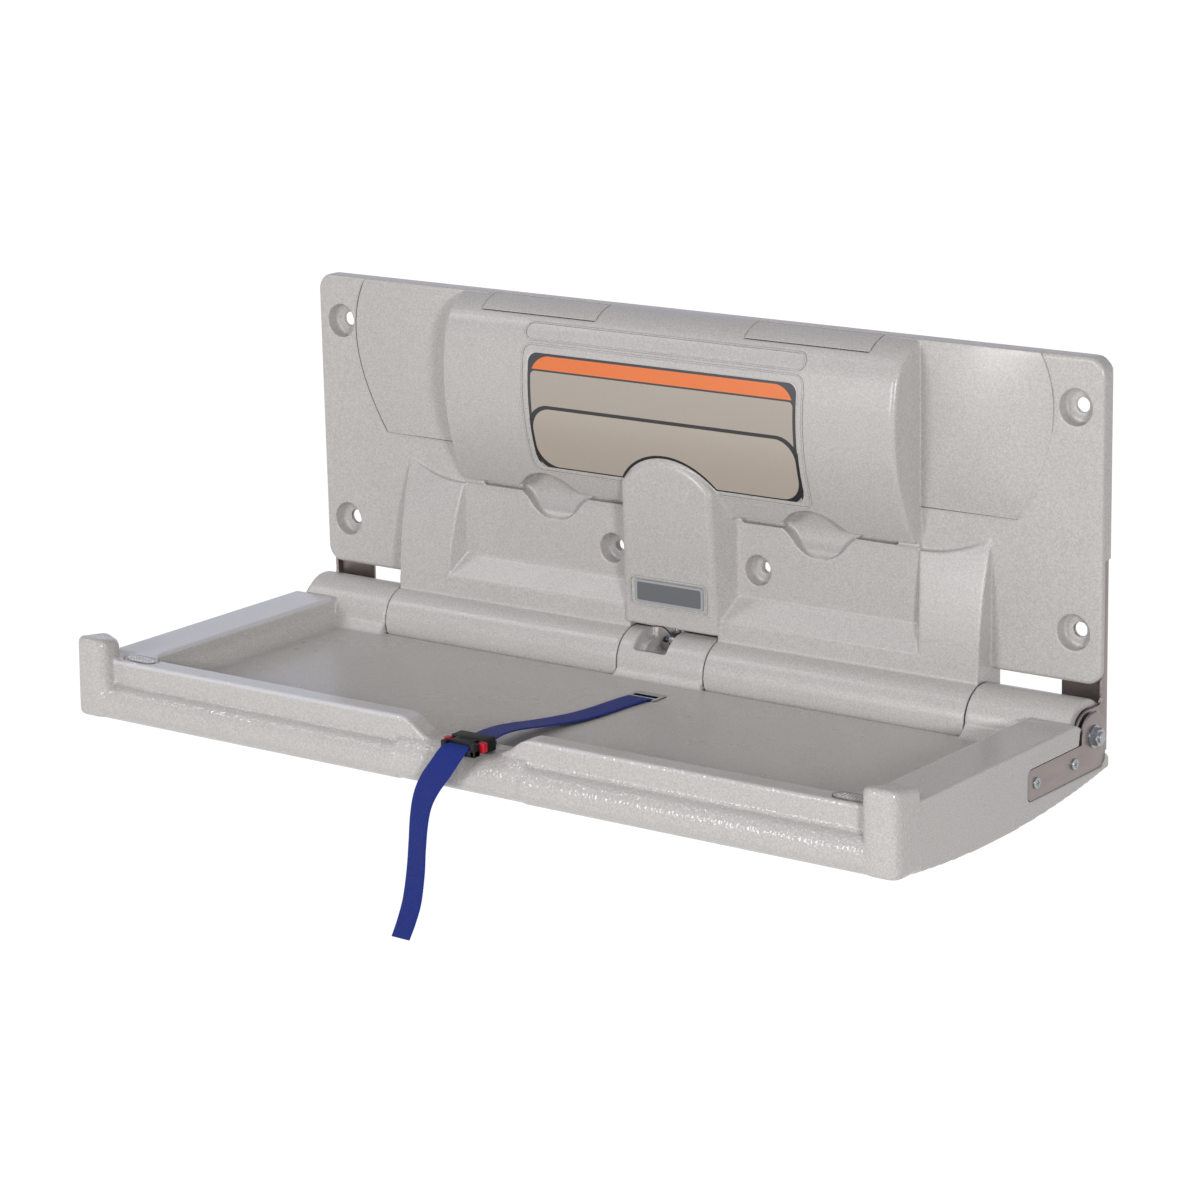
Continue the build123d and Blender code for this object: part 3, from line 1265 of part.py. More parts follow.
def crank_pin():
    half = SLOT_WIDTH / 2 + CRANK_PIN_GRIP
    return rod_x(CRANK_PIN_RADIUS, SPRING_X - half, SPRING_X + half, CRANK_Y, CRANK_Z)


def gas_cylinder():
    """Fixed tube of the gas spring, closed by caps, with the upper eye."""
    tube = rod_z(CYLINDER_RADIUS, SPRING_X, SPRING_Y, CYLINDER_BOTTOM_Z, CYLINDER_TOP_Z)
    tube -= rod_z(
        CYLINDER_RADIUS - CYLINDER_WALL,
        SPRING_X,
        SPRING_Y,
        CYLINDER_BOTTOM_Z + CYLINDER_CAP,
        CYLINDER_TOP_Z - CYLINDER_CAP,
    )
    tube -= rod_z(
        GAS_ROD_RADIUS + RUNNING_CLEARANCE,
        SPRING_X,
        SPRING_Y,
        CYLINDER_BOTTOM_Z - 1.0,
        CYLINDER_BOTTOM_Z + CYLINDER_CAP + 1.0,
    )
    half = EYE_WIDTH / 2
    eye = rod_x(TOP_EYE_RADIUS, SPRING_X - half, SPRING_X + half, SPRING_Y, TOP_EYE_Z)
    neck = block(
        SPRING_X - half, SPRING_X + half, SPRING_Y - half, SPRING_Y + half, CYLINDER_TOP_Z, TOP_EYE_Z
    )
    hole = rod_x(
        TOP_PIN_RADIUS + RUNNING_CLEARANCE, SPRING_X - half - 1, SPRING_X + half + 1, SPRING_Y, TOP_EYE_Z
    )
    return tube + eye + neck - hole


def gas_rod():
    """Rod of the gas spring with its lower eye, which is wide round the crank pin."""
    half = EYE_WIDTH / 2
    eye_radius = EYE_BORE_RADIUS + EYE_WALL
    rod = rod_z(GAS_ROD_RADIUS, SPRING_X, SPRING_Y, CRANK_Z + EYE_BORE_RADIUS + 0.5, PISTON_Z)
    eye = rod_x(eye_radius, SPRING_X - half, SPRING_X + half, SPRING_Y, CRANK_Z)
    bore = rod_x(EYE_BORE_RADIUS, SPRING_X - half - 1, SPRING_X + half + 1, SPRING_Y, CRANK_Z)
    return rod + eye - bore


def gas_piston():
    radius = CYLINDER_RADIUS - CYLINDER_WALL - RUNNING_CLEARANCE
    return rod_z(radius, SPRING_X, SPRING_Y, PISTON_Z, PISTON_Z + PISTON_LENGTH)


def spring_bracket():
    """Steel U under the roof of the bay, which holds the upper eye of the gas spring."""
    t = SPRING_BRACKET_THICKNESS
    half = SPRING_BRACKET_WIDTH / 2
    depth = TOP_EYE_RADIUS + 1.0
    y0, y1 = SPRING_Y - depth, SPRING_Y + depth
    roof = block(SPRING_X - half, SPRING_X + half, y0, y1, BAY_TOP_Z - t, BAY_TOP_Z)
    for side in (-1, 1):
        outer = SPRING_X + side * half
        inner = outer - side * t
        x0, x1 = min(outer, inner), max(outer, inner)
        roof += block(x0, x1, y0, y1, TOP_EYE_Z - depth, BAY_TOP_Z)
    return roof - rod_x(TOP_PIN_RADIUS, SPRING_X - half - 1, SPRING_X + half + 1, SPRING_Y, TOP_EYE_Z)


def spring_pin():
    half = SPRING_BRACKET_WIDTH / 2 + 1.5
    return rod_x(TOP_PIN_RADIUS, SPRING_X - half, SPRING_X + half, SPRING_Y, TOP_EYE_Z)


def name_plate():
    outline = rounded_outline(*NAME_PLATE_SIZE, 3.0, 0.0, NAME_PLATE_Z)
    return along_y(outline, PILLAR_FRONT_Y, PILLAR_FRONT_Y + NAME_PLATE_THICKNESS)


def label():
    return label_layer(0.0, LABEL_THICKNESS, LABEL_GAP) - pillar()


def ribbon(points, plane_edges):
    """Flat outline of the strap's width along a run of centre points."""
    left = []
    right = []
    for i, (a, b) in enumerate(points):
        before = points[max(i - 1, 0)]
        after = points[min(i + 1, len(points) - 1)]
        length = hypot(after[0] - before[0], after[1] - before[1])
        across = ((after[1] - before[1]) / length, -(after[0] - before[0]) / length)
        if plane_edges:
            across = (1.0, 0.0)
        left.append((a - across[0] * STRAP_WIDTH / 2, b - across[1] * STRAP_WIDTH / 2))
        right.append((a + across[0] * STRAP_WIDTH / 2, b + across[1] * STRAP_WIDTH / 2))
    start = left[0]
    return region(start, *left[1:], *reversed(right))


def band(points):
    """Strap thickness in Y and Z along a run of points on its underside or back."""
    over = [(y, z + STRAP_THICKNESS) for y, z in points]
    return region(points[0], *points[1:], *reversed(over))


def deck_run_points():
    """Middle of the strap along the deck, as shares of the way from the plate to the buckle."""
    start = STRAP_PLATE_AT[1]
    length = TRAY_FRONT_Y + DECK_RUN_END - start
    return [(x, start + length * share) for x, share in DECK_RUN]


def hanging_points(run):
    """Middle of the strap in front of the bar, from heights about the tail's pivot."""
    return [(x, TAIL_PIVOT_Z + rise) for x, rise in run]


def strap_deck_run():
    low = DECK_Z + STRAP_LIFT
    plate_top = DECK_Z + STRAP_PLATE_THICKNESS / 2 + STRAP_LIFT
    saddle_low = SADDLE_Z + STRAP_LIFT + STRAP_BUCKLE_LIFT
    buckle_back = BUCKLE_AT[1] + BUCKLE_SIZE[1] / 2
    side = band(
        [
            (STRAP_PLATE_AT[1] + STRAP_SLOT_DEPTH / 2, plate_top),
            (STRAP_PLATE_AT[1] - STRAP_PLATE_SIZE[1] / 2 - 2.0, plate_top),
            (STRAP_PLATE_AT[1] - STRAP_PLATE_SIZE[1] / 2 - 12.0, low),
            (WELL_FRONT_Y + STRAP_CLIMB, low),
            (WELL_FRONT_Y + 5.0, saddle_low - 1.0),
            (WELL_FRONT_Y - 4.0, saddle_low),
            (buckle_back, saddle_low),
        ]
    )
    flat = along_z(ribbon(deck_run_points(), False), DECK_Z - 1.0, RIM_Z)
    return flat & along_x(side, -STRAP_REACH_X, STRAP_REACH_X)


def strap_front_drape():
    """Strap from the buckle over the bar, down to where its free end starts to swing."""
    t = STRAP_THICKNESS
    front = BUCKLE_AT[1] - BUCKLE_SIZE[1] / 2
    top = SADDLE_Z + STRAP_LIFT + 4.0
    back_y = TAIL_Y + t / 2
    low = TAIL_PIVOT_Z + t / 2 + 0.3
    side = region(
        (front, top),
        (front, top + t),
        (front - 1.0, top + t),
        (front - 1.0 - t, top),
        (front - 1.0 - t, top - 8.0),
        (back_y - t, BAR_CREST_Z),
        (back_y - t, low),
        (back_y, low),
        (back_y, BAR_CREST_Z),
        (front - 1.0, top - 8.0),
    )
    flat = along_y(ribbon(hanging_points(DRAPE_RUN), True), front - 20.0, front + 20.0)
    return flat & along_x(side, -STRAP_REACH_X, STRAP_REACH_X)


def strap_tail():
    """Hanging end of the strap, round-topped where it swings."""
    half = STRAP_THICKNESS / 2
    points = hanging_points(TAIL_RUN)
    foot = points[-1][1] - 1.0
    side = region(
        (TAIL_Y - half, TAIL_PIVOT_Z),
        ((TAIL_Y, TAIL_PIVOT_Z + half), (TAIL_Y + half, TAIL_PIVOT_Z)),
        (TAIL_Y + half, foot),
        (TAIL_Y - half, foot),
    )
    flat = along_y(ribbon(points, True), TAIL_Y - 5.0, TAIL_Y + 5.0)
    return flat & along_x(side, -STRAP_REACH_X, STRAP_REACH_X)


def buckle_box(shrink=0.0):
    x, y = BUCKLE_AT
    width, length, height = BUCKLE_SIZE
    z0 = BUCKLE_BASE_Z
    return block(
        x - width / 2 + shrink,
        x + width / 2 - shrink,
        y - length / 2 + shrink,
        y + length / 2 - shrink,
        z0 + shrink,
        z0 + height - shrink,
    )


def button_block(side, gap=0.0):
    """Red press button in the side of the buckle; side is -1 for left and 1 for right."""
    x, y = BUCKLE_AT
    width, length, height = BUTTON_SIZE
    outer = x + side * (BUCKLE_SIZE[0] / 2 + BUTTON_PROUD)
    inner = outer - side * (width + gap)
    middle_z = BUCKLE_MIDDLE_Z
    return block(
        min(inner, outer),
        max(inner, outer),
        y - length / 2 - gap,
        y + length / 2 + gap,
        middle_z - height / 2 - gap,
        middle_z + height / 2 + gap,
    )


def buckle_housing():
    body = buckle_box()
    upright = body.edges().filter_by(Axis.Z)
    body = fillet(upright, 4.0)
    body = chamfer(body.edges().group_by(Axis.Z)[-1], 1.5)
    for side in (-1, 1):
        body -= button_block(side, BUTTON_GAP)
        inner = side * (BUTTON_TRAVEL + BUTTON_GAP)
        body -= Pos(-inner, 0, 0) * button_block(side, BUTTON_GAP)
    body -= tongue_slot(BUTTON_GAP)
    return body


def tongue_slot(gap=0.0):
    """Space for the tongue, from the wall side of the buckle."""
    x, y = BUCKLE_AT
    half = BUCKLE_SIZE[0] / 2 - BUTTON_SIZE[0] - BUTTON_TRAVEL - 2 * BUCKLE_WALL
    middle_z = BUCKLE_MIDDLE_Z
    back = y + BUCKLE_SIZE[1] / 2
    return block(
        x - half - gap,
        x + half + gap,
        y - BUCKLE_SIZE[1] / 4 - gap,
        back + 1.0,
        middle_z - TONGUE_THICKNESS / 2 - gap,
        middle_z + TONGUE_THICKNESS / 2 + gap,
    )


def buckle_tongue():
    x, y = BUCKLE_AT
    half = BUCKLE_SIZE[0] / 2 - BUCKLE_WALL
    thick = TONGUE_THICKNESS
    back = y + BUCKLE_SIZE[1] / 2 + BUCKLE_GAP
    low = BUCKLE_MIDDLE_Z - thick / 2
    return tongue_slot() + block(x - half, x + half, back, back + thick, low, low + thick)


def button(side):
    solid = button_block(side)
    outer = solid.faces().sort_by(Axis.X)[0 if side < 0 else -1]
    return fillet(outer.edges(), 1.2)


def strap_plate():
    """Chromed plate let into the deck, with the slot that the strap comes out of."""
    x, y = STRAP_PLATE_AT
    outline = rounded_outline(*STRAP_PLATE_SIZE, 3.0, x, y)
    half = STRAP_PLATE_THICKNESS / 2
    plate = along_z(outline, DECK_Z - half, DECK_Z + half)
    slot = block(
        x - STRAP_WIDTH / 2 - 1,
        x + STRAP_WIDTH / 2 + 1,
        y - STRAP_SLOT_DEPTH / 2,
        y + STRAP_SLOT_DEPTH / 2,
        DECK_Z - 5,
        DECK_Z + 5,
    )
    return plate - slot


def anchor_bar():
    x, y = STRAP_PLATE_AT
    half = STRAP_PLATE_SIZE[0] / 2
    z = DECK_Z - ANCHOR_POCKET_DEPTH + ANCHOR_BAR_RADIUS + 3.0
    return rod_x(ANCHOR_BAR_RADIUS, x - half, x + half, y, z)


def corner_pads(gap=0.0):
    """Oval studded pads on the rim beside the posts."""
    length, width = CORNER_PAD_SIZE
    x, y = CORNER_PAD_AT
    outline = Pos(x, y) * Rot(0, 0, 8) * Ellipse(length / 2 + gap, width / 2 + gap)
    top = RIM_Z + CORNER_PAD_HEIGHT if gap == 0.0 else RIM_Z + 5.0
    return pair(along_z(outline, RIM_Z - CORNER_PAD_SINK, top))


os.makedirs("parts", exist_ok=True)

right_lid = lid()
right_bracket = wall_bracket()
right_arm = arm_plate()
nodes = {
    "wall_panel": wall_panel(),
    "wall_bracket_left": mirror(right_bracket, about=Plane.YZ),
    "wall_bracket_right": right_bracket,
    "stop_screws": stop_screws(),
    "hinge_rod": hinge_rod(),
    "hinge_nuts": hinge_nuts(),
    "hinge_washers": hinge_washers(),
    "spacer_washers": spacer_washers(),
    "lid_left": mirror(right_lid, about=Plane.YZ),
    "lid_right": right_lid,
    "lid_pins": lid_pins(),
    "label_sheet": label(),
    "name_plate": name_plate(),
    "gas_cylinder": gas_cylinder(),
    "gas_rod": gas_rod(),
    "gas_piston": gas_piston(),
    "spring_bracket": spring_bracket(),
    "spring_pin": spring_pin(),
    "tray_moulding": tray_moulding(),
    "hinge_bushes": hinge_bushes(),
    "crank_pin": crank_pin(),
    "arm_plate_left": mirror(right_arm, about=Plane.YZ),
    "arm_plate_right": right_arm,
    "arm_screws": arm_screws(),
    "corner_pads": corner_pads(),
    "strap_plate": strap_plate(),
    "strap_anchor_bar": anchor_bar(),
    "strap_deck_run": strap_deck_run(),
    "strap_front_drape": strap_front_drape(),
    "strap_tail": strap_tail(),
    "buckle_housing": buckle_housing(),
    "buckle_tongue": buckle_tongue(),
    "buckle_button_left": button(-1),
    "buckle_button_right": button(1),
}
for name, solid in nodes.items():
    export_step(solid, os.path.join("parts", name + ".step"))
    print(name, round(solid.volume), "mm3")
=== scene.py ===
import math

import bmesh
import bpy
from mathutils import Matrix, Vector


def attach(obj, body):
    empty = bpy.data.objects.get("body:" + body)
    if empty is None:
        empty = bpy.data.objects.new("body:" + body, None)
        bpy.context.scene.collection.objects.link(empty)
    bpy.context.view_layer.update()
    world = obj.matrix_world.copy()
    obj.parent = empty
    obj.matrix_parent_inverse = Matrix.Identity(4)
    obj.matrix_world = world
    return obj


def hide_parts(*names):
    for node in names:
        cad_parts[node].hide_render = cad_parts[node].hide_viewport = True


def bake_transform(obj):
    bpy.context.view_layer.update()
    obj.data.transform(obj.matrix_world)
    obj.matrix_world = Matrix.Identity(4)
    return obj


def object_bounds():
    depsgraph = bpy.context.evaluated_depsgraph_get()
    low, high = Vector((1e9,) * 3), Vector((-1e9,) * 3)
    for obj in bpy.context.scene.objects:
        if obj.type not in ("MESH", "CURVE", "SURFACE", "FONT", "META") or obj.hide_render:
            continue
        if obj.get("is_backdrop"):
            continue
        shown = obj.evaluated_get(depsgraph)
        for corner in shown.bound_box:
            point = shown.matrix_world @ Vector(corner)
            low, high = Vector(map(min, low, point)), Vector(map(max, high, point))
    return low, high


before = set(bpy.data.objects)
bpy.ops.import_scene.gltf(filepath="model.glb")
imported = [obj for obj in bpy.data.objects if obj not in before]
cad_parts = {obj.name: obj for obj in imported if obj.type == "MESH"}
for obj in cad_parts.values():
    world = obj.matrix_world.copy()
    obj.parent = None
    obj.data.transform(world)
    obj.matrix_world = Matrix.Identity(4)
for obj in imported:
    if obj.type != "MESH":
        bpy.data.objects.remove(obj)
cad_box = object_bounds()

# Sizes in millimetres, as in the part's source
MM = 0.001
BARREL_RADIUS = 200.0
BARREL_REACH = 58.4
BARREL_MIDDLE_Z = 68.0
SHOULDER_RADIUS = 45.0
SHOULDER_MIDDLE = (-9.5, 102.5)
SHOULDER_FOOT_Z = 112.5
PILLAR_FRONT_Y = -46.5
PILLAR_LEAN = 0.042
NAME_PLATE_Z = -118.0
PAD_MIDDLE = (400.8, -346.0, -169.7)
PANEL_TOP_Z = 147.5
SIDE_PAD_Y = -18.5
SIDE_PAD_INNER_X = 228.0
SIDE_PAD_FOOT_Z = -5.9
POST_MIDDLE_X = 441.5
POST_MIDDLE_Y = -352.8
POST_MIDDLE_Z = -186.8
POST_SIZE = (36.0, 47.0, 78.4)
BAR_CENTRE = (-360.4, -209.0)
BAR_RADIUS = 15.6
DECK_Z = -197.0
RIM_Z = -170.6
TRAY_SIDE_X = 451.5
BUCKLE_MIDDLE_X = 15.0
STRAP_WIDTH = 25.0
STRAP_THICKNESS = 1.5

# The stage: sizes in metres, strengths of the white that is seen and of the world's light
FLOOR_HALF = 30.0
FLOOR_Z = -0.95
WHITE_SEEN = 0.96
WORLD_LIGHT = 0.24
LAMP_TARGET = (0.0, -0.15, -0.1)

# The camera, fitted to the photograph's viewing angle: its lens, place and axes
LENS_MM = 114.162
LENS_SHIFT = (-0.00354, -0.00113)
CAMERA_PLACE = (2.034122, -2.868781, 0.776943)
CAMERA_RIGHT = (0.80384957, 0.59448642, -0.02029203)
CAMERA_UP = (-0.13271516, 0.21249917, 0.96810681)
CAMERA_BACK = (0.57983839, -0.77551918, 0.24971473)

# Sizes on the label in metres: the arch over the pillar and the foot of the orange band
ARCH_MIDDLE_Z = -0.0509
ARCH_RADIUS = 0.0680
BAND_FOOT_Z = 0.0868


# ---------------------------------------------------------------- materials

def linear(hex_colour):
    """Turns an sRGB hex colour into the linear numbers that a shader takes."""
    channels = [int(hex_colour[i:i + 2], 16) / 255 for i in (1, 3, 5)]
    return [c / 12.92 if c <= 0.04045 else ((c + 0.055) / 1.055) ** 2.4 for c in channels] + [1.0]


def add(tree, kind, inputs=None, **settings):
    """Adds a node with its settings; an input is either linked from a socket or given a value."""
    node = tree.nodes.new(kind)
    for key, value in settings.items():
        setattr(node, key, value)
    for key, value in (inputs or {}).items():
        if isinstance(value, bpy.types.NodeSocket):
            tree.links.new(value, node.inputs[key])
        else:
            node.inputs[key].default_value = value
    return node


def start_material(name, colour, roughness, metallic=0.0, **shader):
    """A principled material with its constants on the shader's own sockets."""
    material = bpy.data.materials.new(name)
    material.use_nodes = True
    tree = material.node_tree
    surface = tree.nodes["Principled BSDF"]
    surface.inputs["Base Color"].default_value = linear(colour)
    surface.inputs["Roughness"].default_value = roughness
    surface.inputs["Metallic"].default_value = metallic
    for key, value in shader.items():
        surface.inputs[key.replace("_", " ")].default_value = value
    place = add(tree, "ShaderNodeTexCoord").outputs["Object"]
    return material, tree, surface, place


def mix(tree, share, first, second):
    """Mixes two colours by a share of 0 to 1; each is a socket, a hex colour or linear numbers."""
    first = linear(first) if isinstance(first, str) else first
    second = linear(second) if isinstance(second, str) else second
    inputs = {"Factor": share, "A": first, "B": second}
    node = tree.nodes.new("ShaderNodeMix")
    node.data_type = "RGBA"
    colours = {"Factor": node.inputs[0], "A": node.inputs[6], "B": node.inputs[7]}
    for key, value in inputs.items():
        if isinstance(value, bpy.types.NodeSocket):
            tree.links.new(value, colours[key])
        else:
            colours[key].default_value = value
    return node.outputs[2]


def calculate(tree, operation, first, second=0.0):
    """A math node's result for two inputs; each is a socket or a number."""
    return add(tree, "ShaderNodeMath", {0: first, 1: second}, operation=operation).outputs[0]


def rescale(tree, value, from_low, from_high, to_low=0.0, to_high=1.0):
    """A value mapped from one range to another and held inside it."""
    return add(tree, "ShaderNodeMapRange", {
        "Value": value, "From Min": from_low, "From Max": from_high,
        "To Min": to_low, "To Max": to_high}).outputs["Result"]


def multiply(tree, first, second):
    """Two colours multiplied, socket by socket."""
    node = tree.nodes.new("ShaderNodeMix")
    node.data_type = "RGBA"
    node.blend_type = "MULTIPLY"
    node.inputs[0].default_value = 1.0
    tree.links.new(first, node.inputs[6])
    tree.links.new(second, node.inputs[7])
    return node.outputs[2]


def bump(tree, surface, height, strength, depth):
    """Gives a surface a bumped normal from a height."""
    node = add(tree, "ShaderNodeBump", {"Height": height, "Strength": strength, "Distance": depth})
    tree.links.new(node.outputs["Normal"], surface.inputs["Normal"])


def granite_plastic():
    """Rotomoulded polyethylene in granite grey: a fine speckle under a soft pebbled skin."""
    material, tree, surface, place = start_material(
        "granite_grey_polyethylene", "#CAC5C1", 0.32, IOR=1.5)
    # speckle about 1.6 mm across, as coarse as it needs to be to show
    speckle = add(tree, "ShaderNodeTexNoise", {
        "Vector": place, "Scale": 620.0, "Detail": 3.0, "Roughness": 0.7})
    sharp = rescale(tree, speckle.outputs["Fac"], 0.36, 0.66)
    cloud = add(tree, "ShaderNodeTexNoise", {"Vector": place, "Scale": 22.0, "Detail": 2.0})
    base = mix(tree, sharp, "#BBB7B4", "#D4D0CD")
    tone = mix(tree, cloud.outputs["Fac"], "#F9F9F9", "#FFFFFF")
    speckled = multiply(tree, base, tone)
    parts = add(tree, "ShaderNodeSeparateXYZ", {"Vector": place})
    x, y, z = (parts.outputs[axis] for axis in "XYZ")
    # the tray's flat rim is polished by the tool and glossier; its colour is painted paler and
    # bluish, a painted reflection of the white backdrop; the rest is grained
    rise = calculate(tree, "ABSOLUTE", calculate(tree, "ADD", z, -RIM_Z * MM))
    level = rescale(tree, rise, 0.0045, 0.002)
    behind = rescale(tree, y, -0.366, -0.360)
    before = rescale(tree, y, -0.066, -0.070)
    rim = inside_both(tree, inside_both(tree, level, behind), before)
    outward = calculate(tree, "ABSOLUTE", x)
    width, depth, _ = POST_SIZE
    at_post = calculate(tree, "GREATER_THAN", outward, (POST_MIDDLE_X - width / 2 - 0.3) * MM)
    ahead = calculate(tree, "LESS_THAN", y, (POST_MIDDLE_Y + depth / 2 + 0.5) * MM)
    off_post = calculate(tree, "SUBTRACT", 1.0, inside_both(tree, at_post, ahead))
    rim = inside_both(tree, rim, off_post)
    # the painted reflection is strongest towards the left end, where the rim is palest
    painted_reflection_share = rescale(tree, x, 0.30, -0.20, 0.12, 0.75)
    painted_reflection_colour = mix(tree, inside_both(tree, rim, painted_reflection_share), speckled, "#DEDDE4")
    # painted shade: ambient occlusion darkens the colour into a dark line in narrow gaps and
    # creases
    crease_occlusion = add(tree, "ShaderNodeAmbientOcclusion", {"Distance": 0.0045}, samples=12)
    shade = rescale(tree, crease_occlusion.outputs["AO"], 0.1, 0.7, 0.08, 1.0)
    # the flat deck and sides have no creases of their own, so they get no painted crease shade
    off_deck = calculate(tree, "ABSOLUTE", calculate(tree, "ADD", z, -DECK_Z * MM))
    off_side = calculate(tree, "ABSOLUTE", calculate(tree, "SUBTRACT", outward, TRAY_SIDE_X * MM))
    flat = rescale(tree, calculate(tree, "MINIMUM", off_deck, off_side), 0.0012, 0.0006)
    shade = calculate(tree, "MAXIMUM", shade, flat)
    tree.links.new(multiply(tree, painted_reflection_colour, shade), surface.inputs["Base Color"])
    # the front bar and the posts have a coarser skin than the rest
    front = rescale(tree, y, -0.352, -0.358)
    grain = add(tree, "ShaderNodeTexNoise", {"Vector": place, "Scale": 520.0, "Detail": 2.0})
    pebbles = add(tree, "ShaderNodeTexVoronoi", {"Vector": place, "Scale": 360.0})
    fine = add(tree, "ShaderNodeBump", {
        "Height": grain.outputs["Fac"], "Strength": 0.2, "Distance": 0.0005})
    coarse = add(tree, "ShaderNodeBump", {
        "Height": pebbles.outputs["Distance"], "Strength": calculate(tree, "MULTIPLY", front, 0.35),
        "Distance": 0.0012, "Normal": fine.outputs["Normal"]})
    tree.links.new(coarse.outputs["Normal"], surface.inputs["Normal"])
    # gloss wanders a little, as on a moulding cooled unevenly
    skin = rescale(tree, cloud.outputs["Fac"], 0.3, 0.7, 0.26, 0.32)
    for smoother in (rim, front):
        skin = calculate(tree, "ADD", skin, calculate(tree, "MULTIPLY", smoother, -0.12))
    tree.links.new(skin, surface.inputs["Roughness"])
    return material


def brushed_steel():
    """Stainless sheet, brushed along its length: fine lines and a soft streaked shine."""
    material, tree, surface, place = start_material("brushed_stainless_sheet", "#B3A9A4", 0.36, 1.0)
    lay = add(tree, "ShaderNodeMapping", {"Vector": place, "Scale": (60.0, 60.0, 2600.0)})
    lines = add(tree, "ShaderNodeTexNoise", {
        "Vector": lay.outputs["Vector"], "Scale": 1.0, "Detail": 3.0})
    colour = mix(tree, lines.outputs["Fac"], "#847B78", "#9F9591")
    tree.links.new(colour, surface.inputs["Base Color"])
    gloss = rescale(tree, lines.outputs["Fac"], 0.0, 1.0, 0.28, 0.46)
    tree.links.new(gloss, surface.inputs["Roughness"])
    bump(tree, surface, lines.outputs["Fac"], 0.12, 0.0002)
    return material


def plated_metal(name, dark, light, roughness, scale):
    """Plated steel: bright, with faint uneven patches from the plating bath."""
    material, tree, surface, place = start_material(name, light, roughness, 1.0)
    patches = add(tree, "ShaderNodeTexNoise", {"Vector": place, "Scale": scale, "Detail": 3.0})
    colour = mix(tree, patches.outputs["Fac"], dark, light)
    tree.links.new(colour, surface.inputs["Base Color"])
    gloss = rescale(tree, patches.outputs["Fac"], 0.0, 1.0, roughness * 0.75, roughness * 1.4)
    tree.links.new(gloss, surface.inputs["Roughness"])
    return material


def moulded_colour(name, dark, light, roughness, grain_scale):
    """Injection-moulded plastic with a fine spark-eroded grain."""
    material, tree, surface, place = start_material(
        name, light, roughness, IOR=1.48, Specular_IOR_Level=0.25)
    grain = add(tree, "ShaderNodeTexNoise", {"Vector": place, "Scale": grain_scale, "Detail": 2.0})
    colour = mix(tree, grain.outputs["Fac"], dark, light)
    tree.links.new(colour, surface.inputs["Base Color"])
    bump(tree, surface, grain.outputs["Fac"], 0.25, 0.0002)
    return material


def woven_webbing():
    """Polypropylene webbing: ribs across the strap and warp ends along it, from its own UV."""
    material, tree, surface, _ = start_material(
        "woven_blue_polypropylene", "#1C3191", 0.6,
        Specular_IOR_Level=0.2, Sheen_Weight=0.04, Sheen_Roughness=0.4)
    run = add(tree, "ShaderNodeUVMap", uv_map="strap").outputs["UV"]
    ribs = add(tree, "ShaderNodeTexWave", {
        "Vector": run, "Scale": 0.21, "Distortion": 0.4, "Detail": 1.0},
        wave_type="BANDS", bands_direction="Y")
    ends = add(tree, "ShaderNodeTexWave", {
        "Vector": run, "Scale": 0.32}, wave_type="BANDS", bands_direction="X")
    weave = calculate(tree, "MULTIPLY", ribs.outputs["Fac"], ends.outputs["Fac"])
    colour = mix(tree, weave, "#0E1F68", "#1D3A9E")
    tree.links.new(colour, surface.inputs["Base Color"])
    bump(tree, surface, weave, 0.5, 0.0004)
    return material


def rounded_field(tree, x, z, middle_z, half_x, half_z, radius):
    """1 inside a rounded rectangle on the label, 0 outside; sizes in metres."""
    across = calculate(tree, "ABSOLUTE", x)
    up = calculate(tree, "ABSOLUTE", calculate(tree, "SUBTRACT", z, middle_z))
    past = [calculate(tree, "MAXIMUM", calculate(tree, "SUBTRACT", way, half - radius), 0.0)
            for way, half in ((across, half_x), (up, half_z))]
    return calculate(tree, "LESS_THAN", distance(tree, *past), radius)


def distance(tree, x, z):
    """Distance of a point in X and Z from the origin."""
    point = add(tree, "ShaderNodeCombineXYZ", {"X": x, "Y": z}).outputs[0]
    return add(tree, "ShaderNodeVectorMath", {0: point}, operation="LENGTH").outputs["Value"]


def inside_both(tree, first, second):
    """Where two masks overlap."""
    return calculate(tree, "MULTIPLY", first, second)


def printed_film():
    """Polyester film printed in flat blocks: pale edge, charcoal ground, tan and orange fields."""
    material, tree, surface, place = start_material(
        "printed_polyester_film", "#B5ABA0", 0.28, IOR=1.55)
    parts = add(tree, "ShaderNodeSeparateXYZ", {"Vector": place})
    x, z = parts.outputs["X"], parts.outputs["Z"]
    # the lower field stops short of the pillar's arch by a dark line
    drop = calculate(tree, "SUBTRACT", z, ARCH_MIDDLE_Z)
    clear = calculate(tree, "GREATER_THAN", distance(tree, x, drop), ARCH_RADIUS)
    above = calculate(tree, "GREATER_THAN", z, BAND_FOOT_Z)
    colour = linear("#DAD7D3")
    for middle_z, half_x, half_z, radius, mask, tint in (
            (0.0455, 0.1532, 0.0568, 0.0100, None, "#36363A"),
            (0.0300, 0.1498, 0.0550, 0.0050, None, "#B9AFA4"),
            (0.0770, 0.1502, 0.0228, 0.0215, above, "#F5803C"),
            (0.0188, 0.1560, 0.0335, 0.0255, None, "#26262A"),
            (0.0193, 0.1505, 0.0295, 0.0220, clear, "#C0B5A8")):
        field = rounded_field(tree, x, z, middle_z, half_x, half_z, radius)
        if mask is not None:
            field = inside_both(tree, field, mask)
        colour = mix(tree, field, colour, tint)
    # faint ink grain, about 0.5 mm
    grain = add(tree, "ShaderNodeTexNoise", {"Vector": place, "Scale": 1800.0, "Detail": 1.0})
    shade = mix(tree, grain.outputs["Fac"], "#EEEEEE", "#FFFFFF")
    tree.links.new(multiply(tree, colour, shade), surface.inputs["Base Color"])
    return material


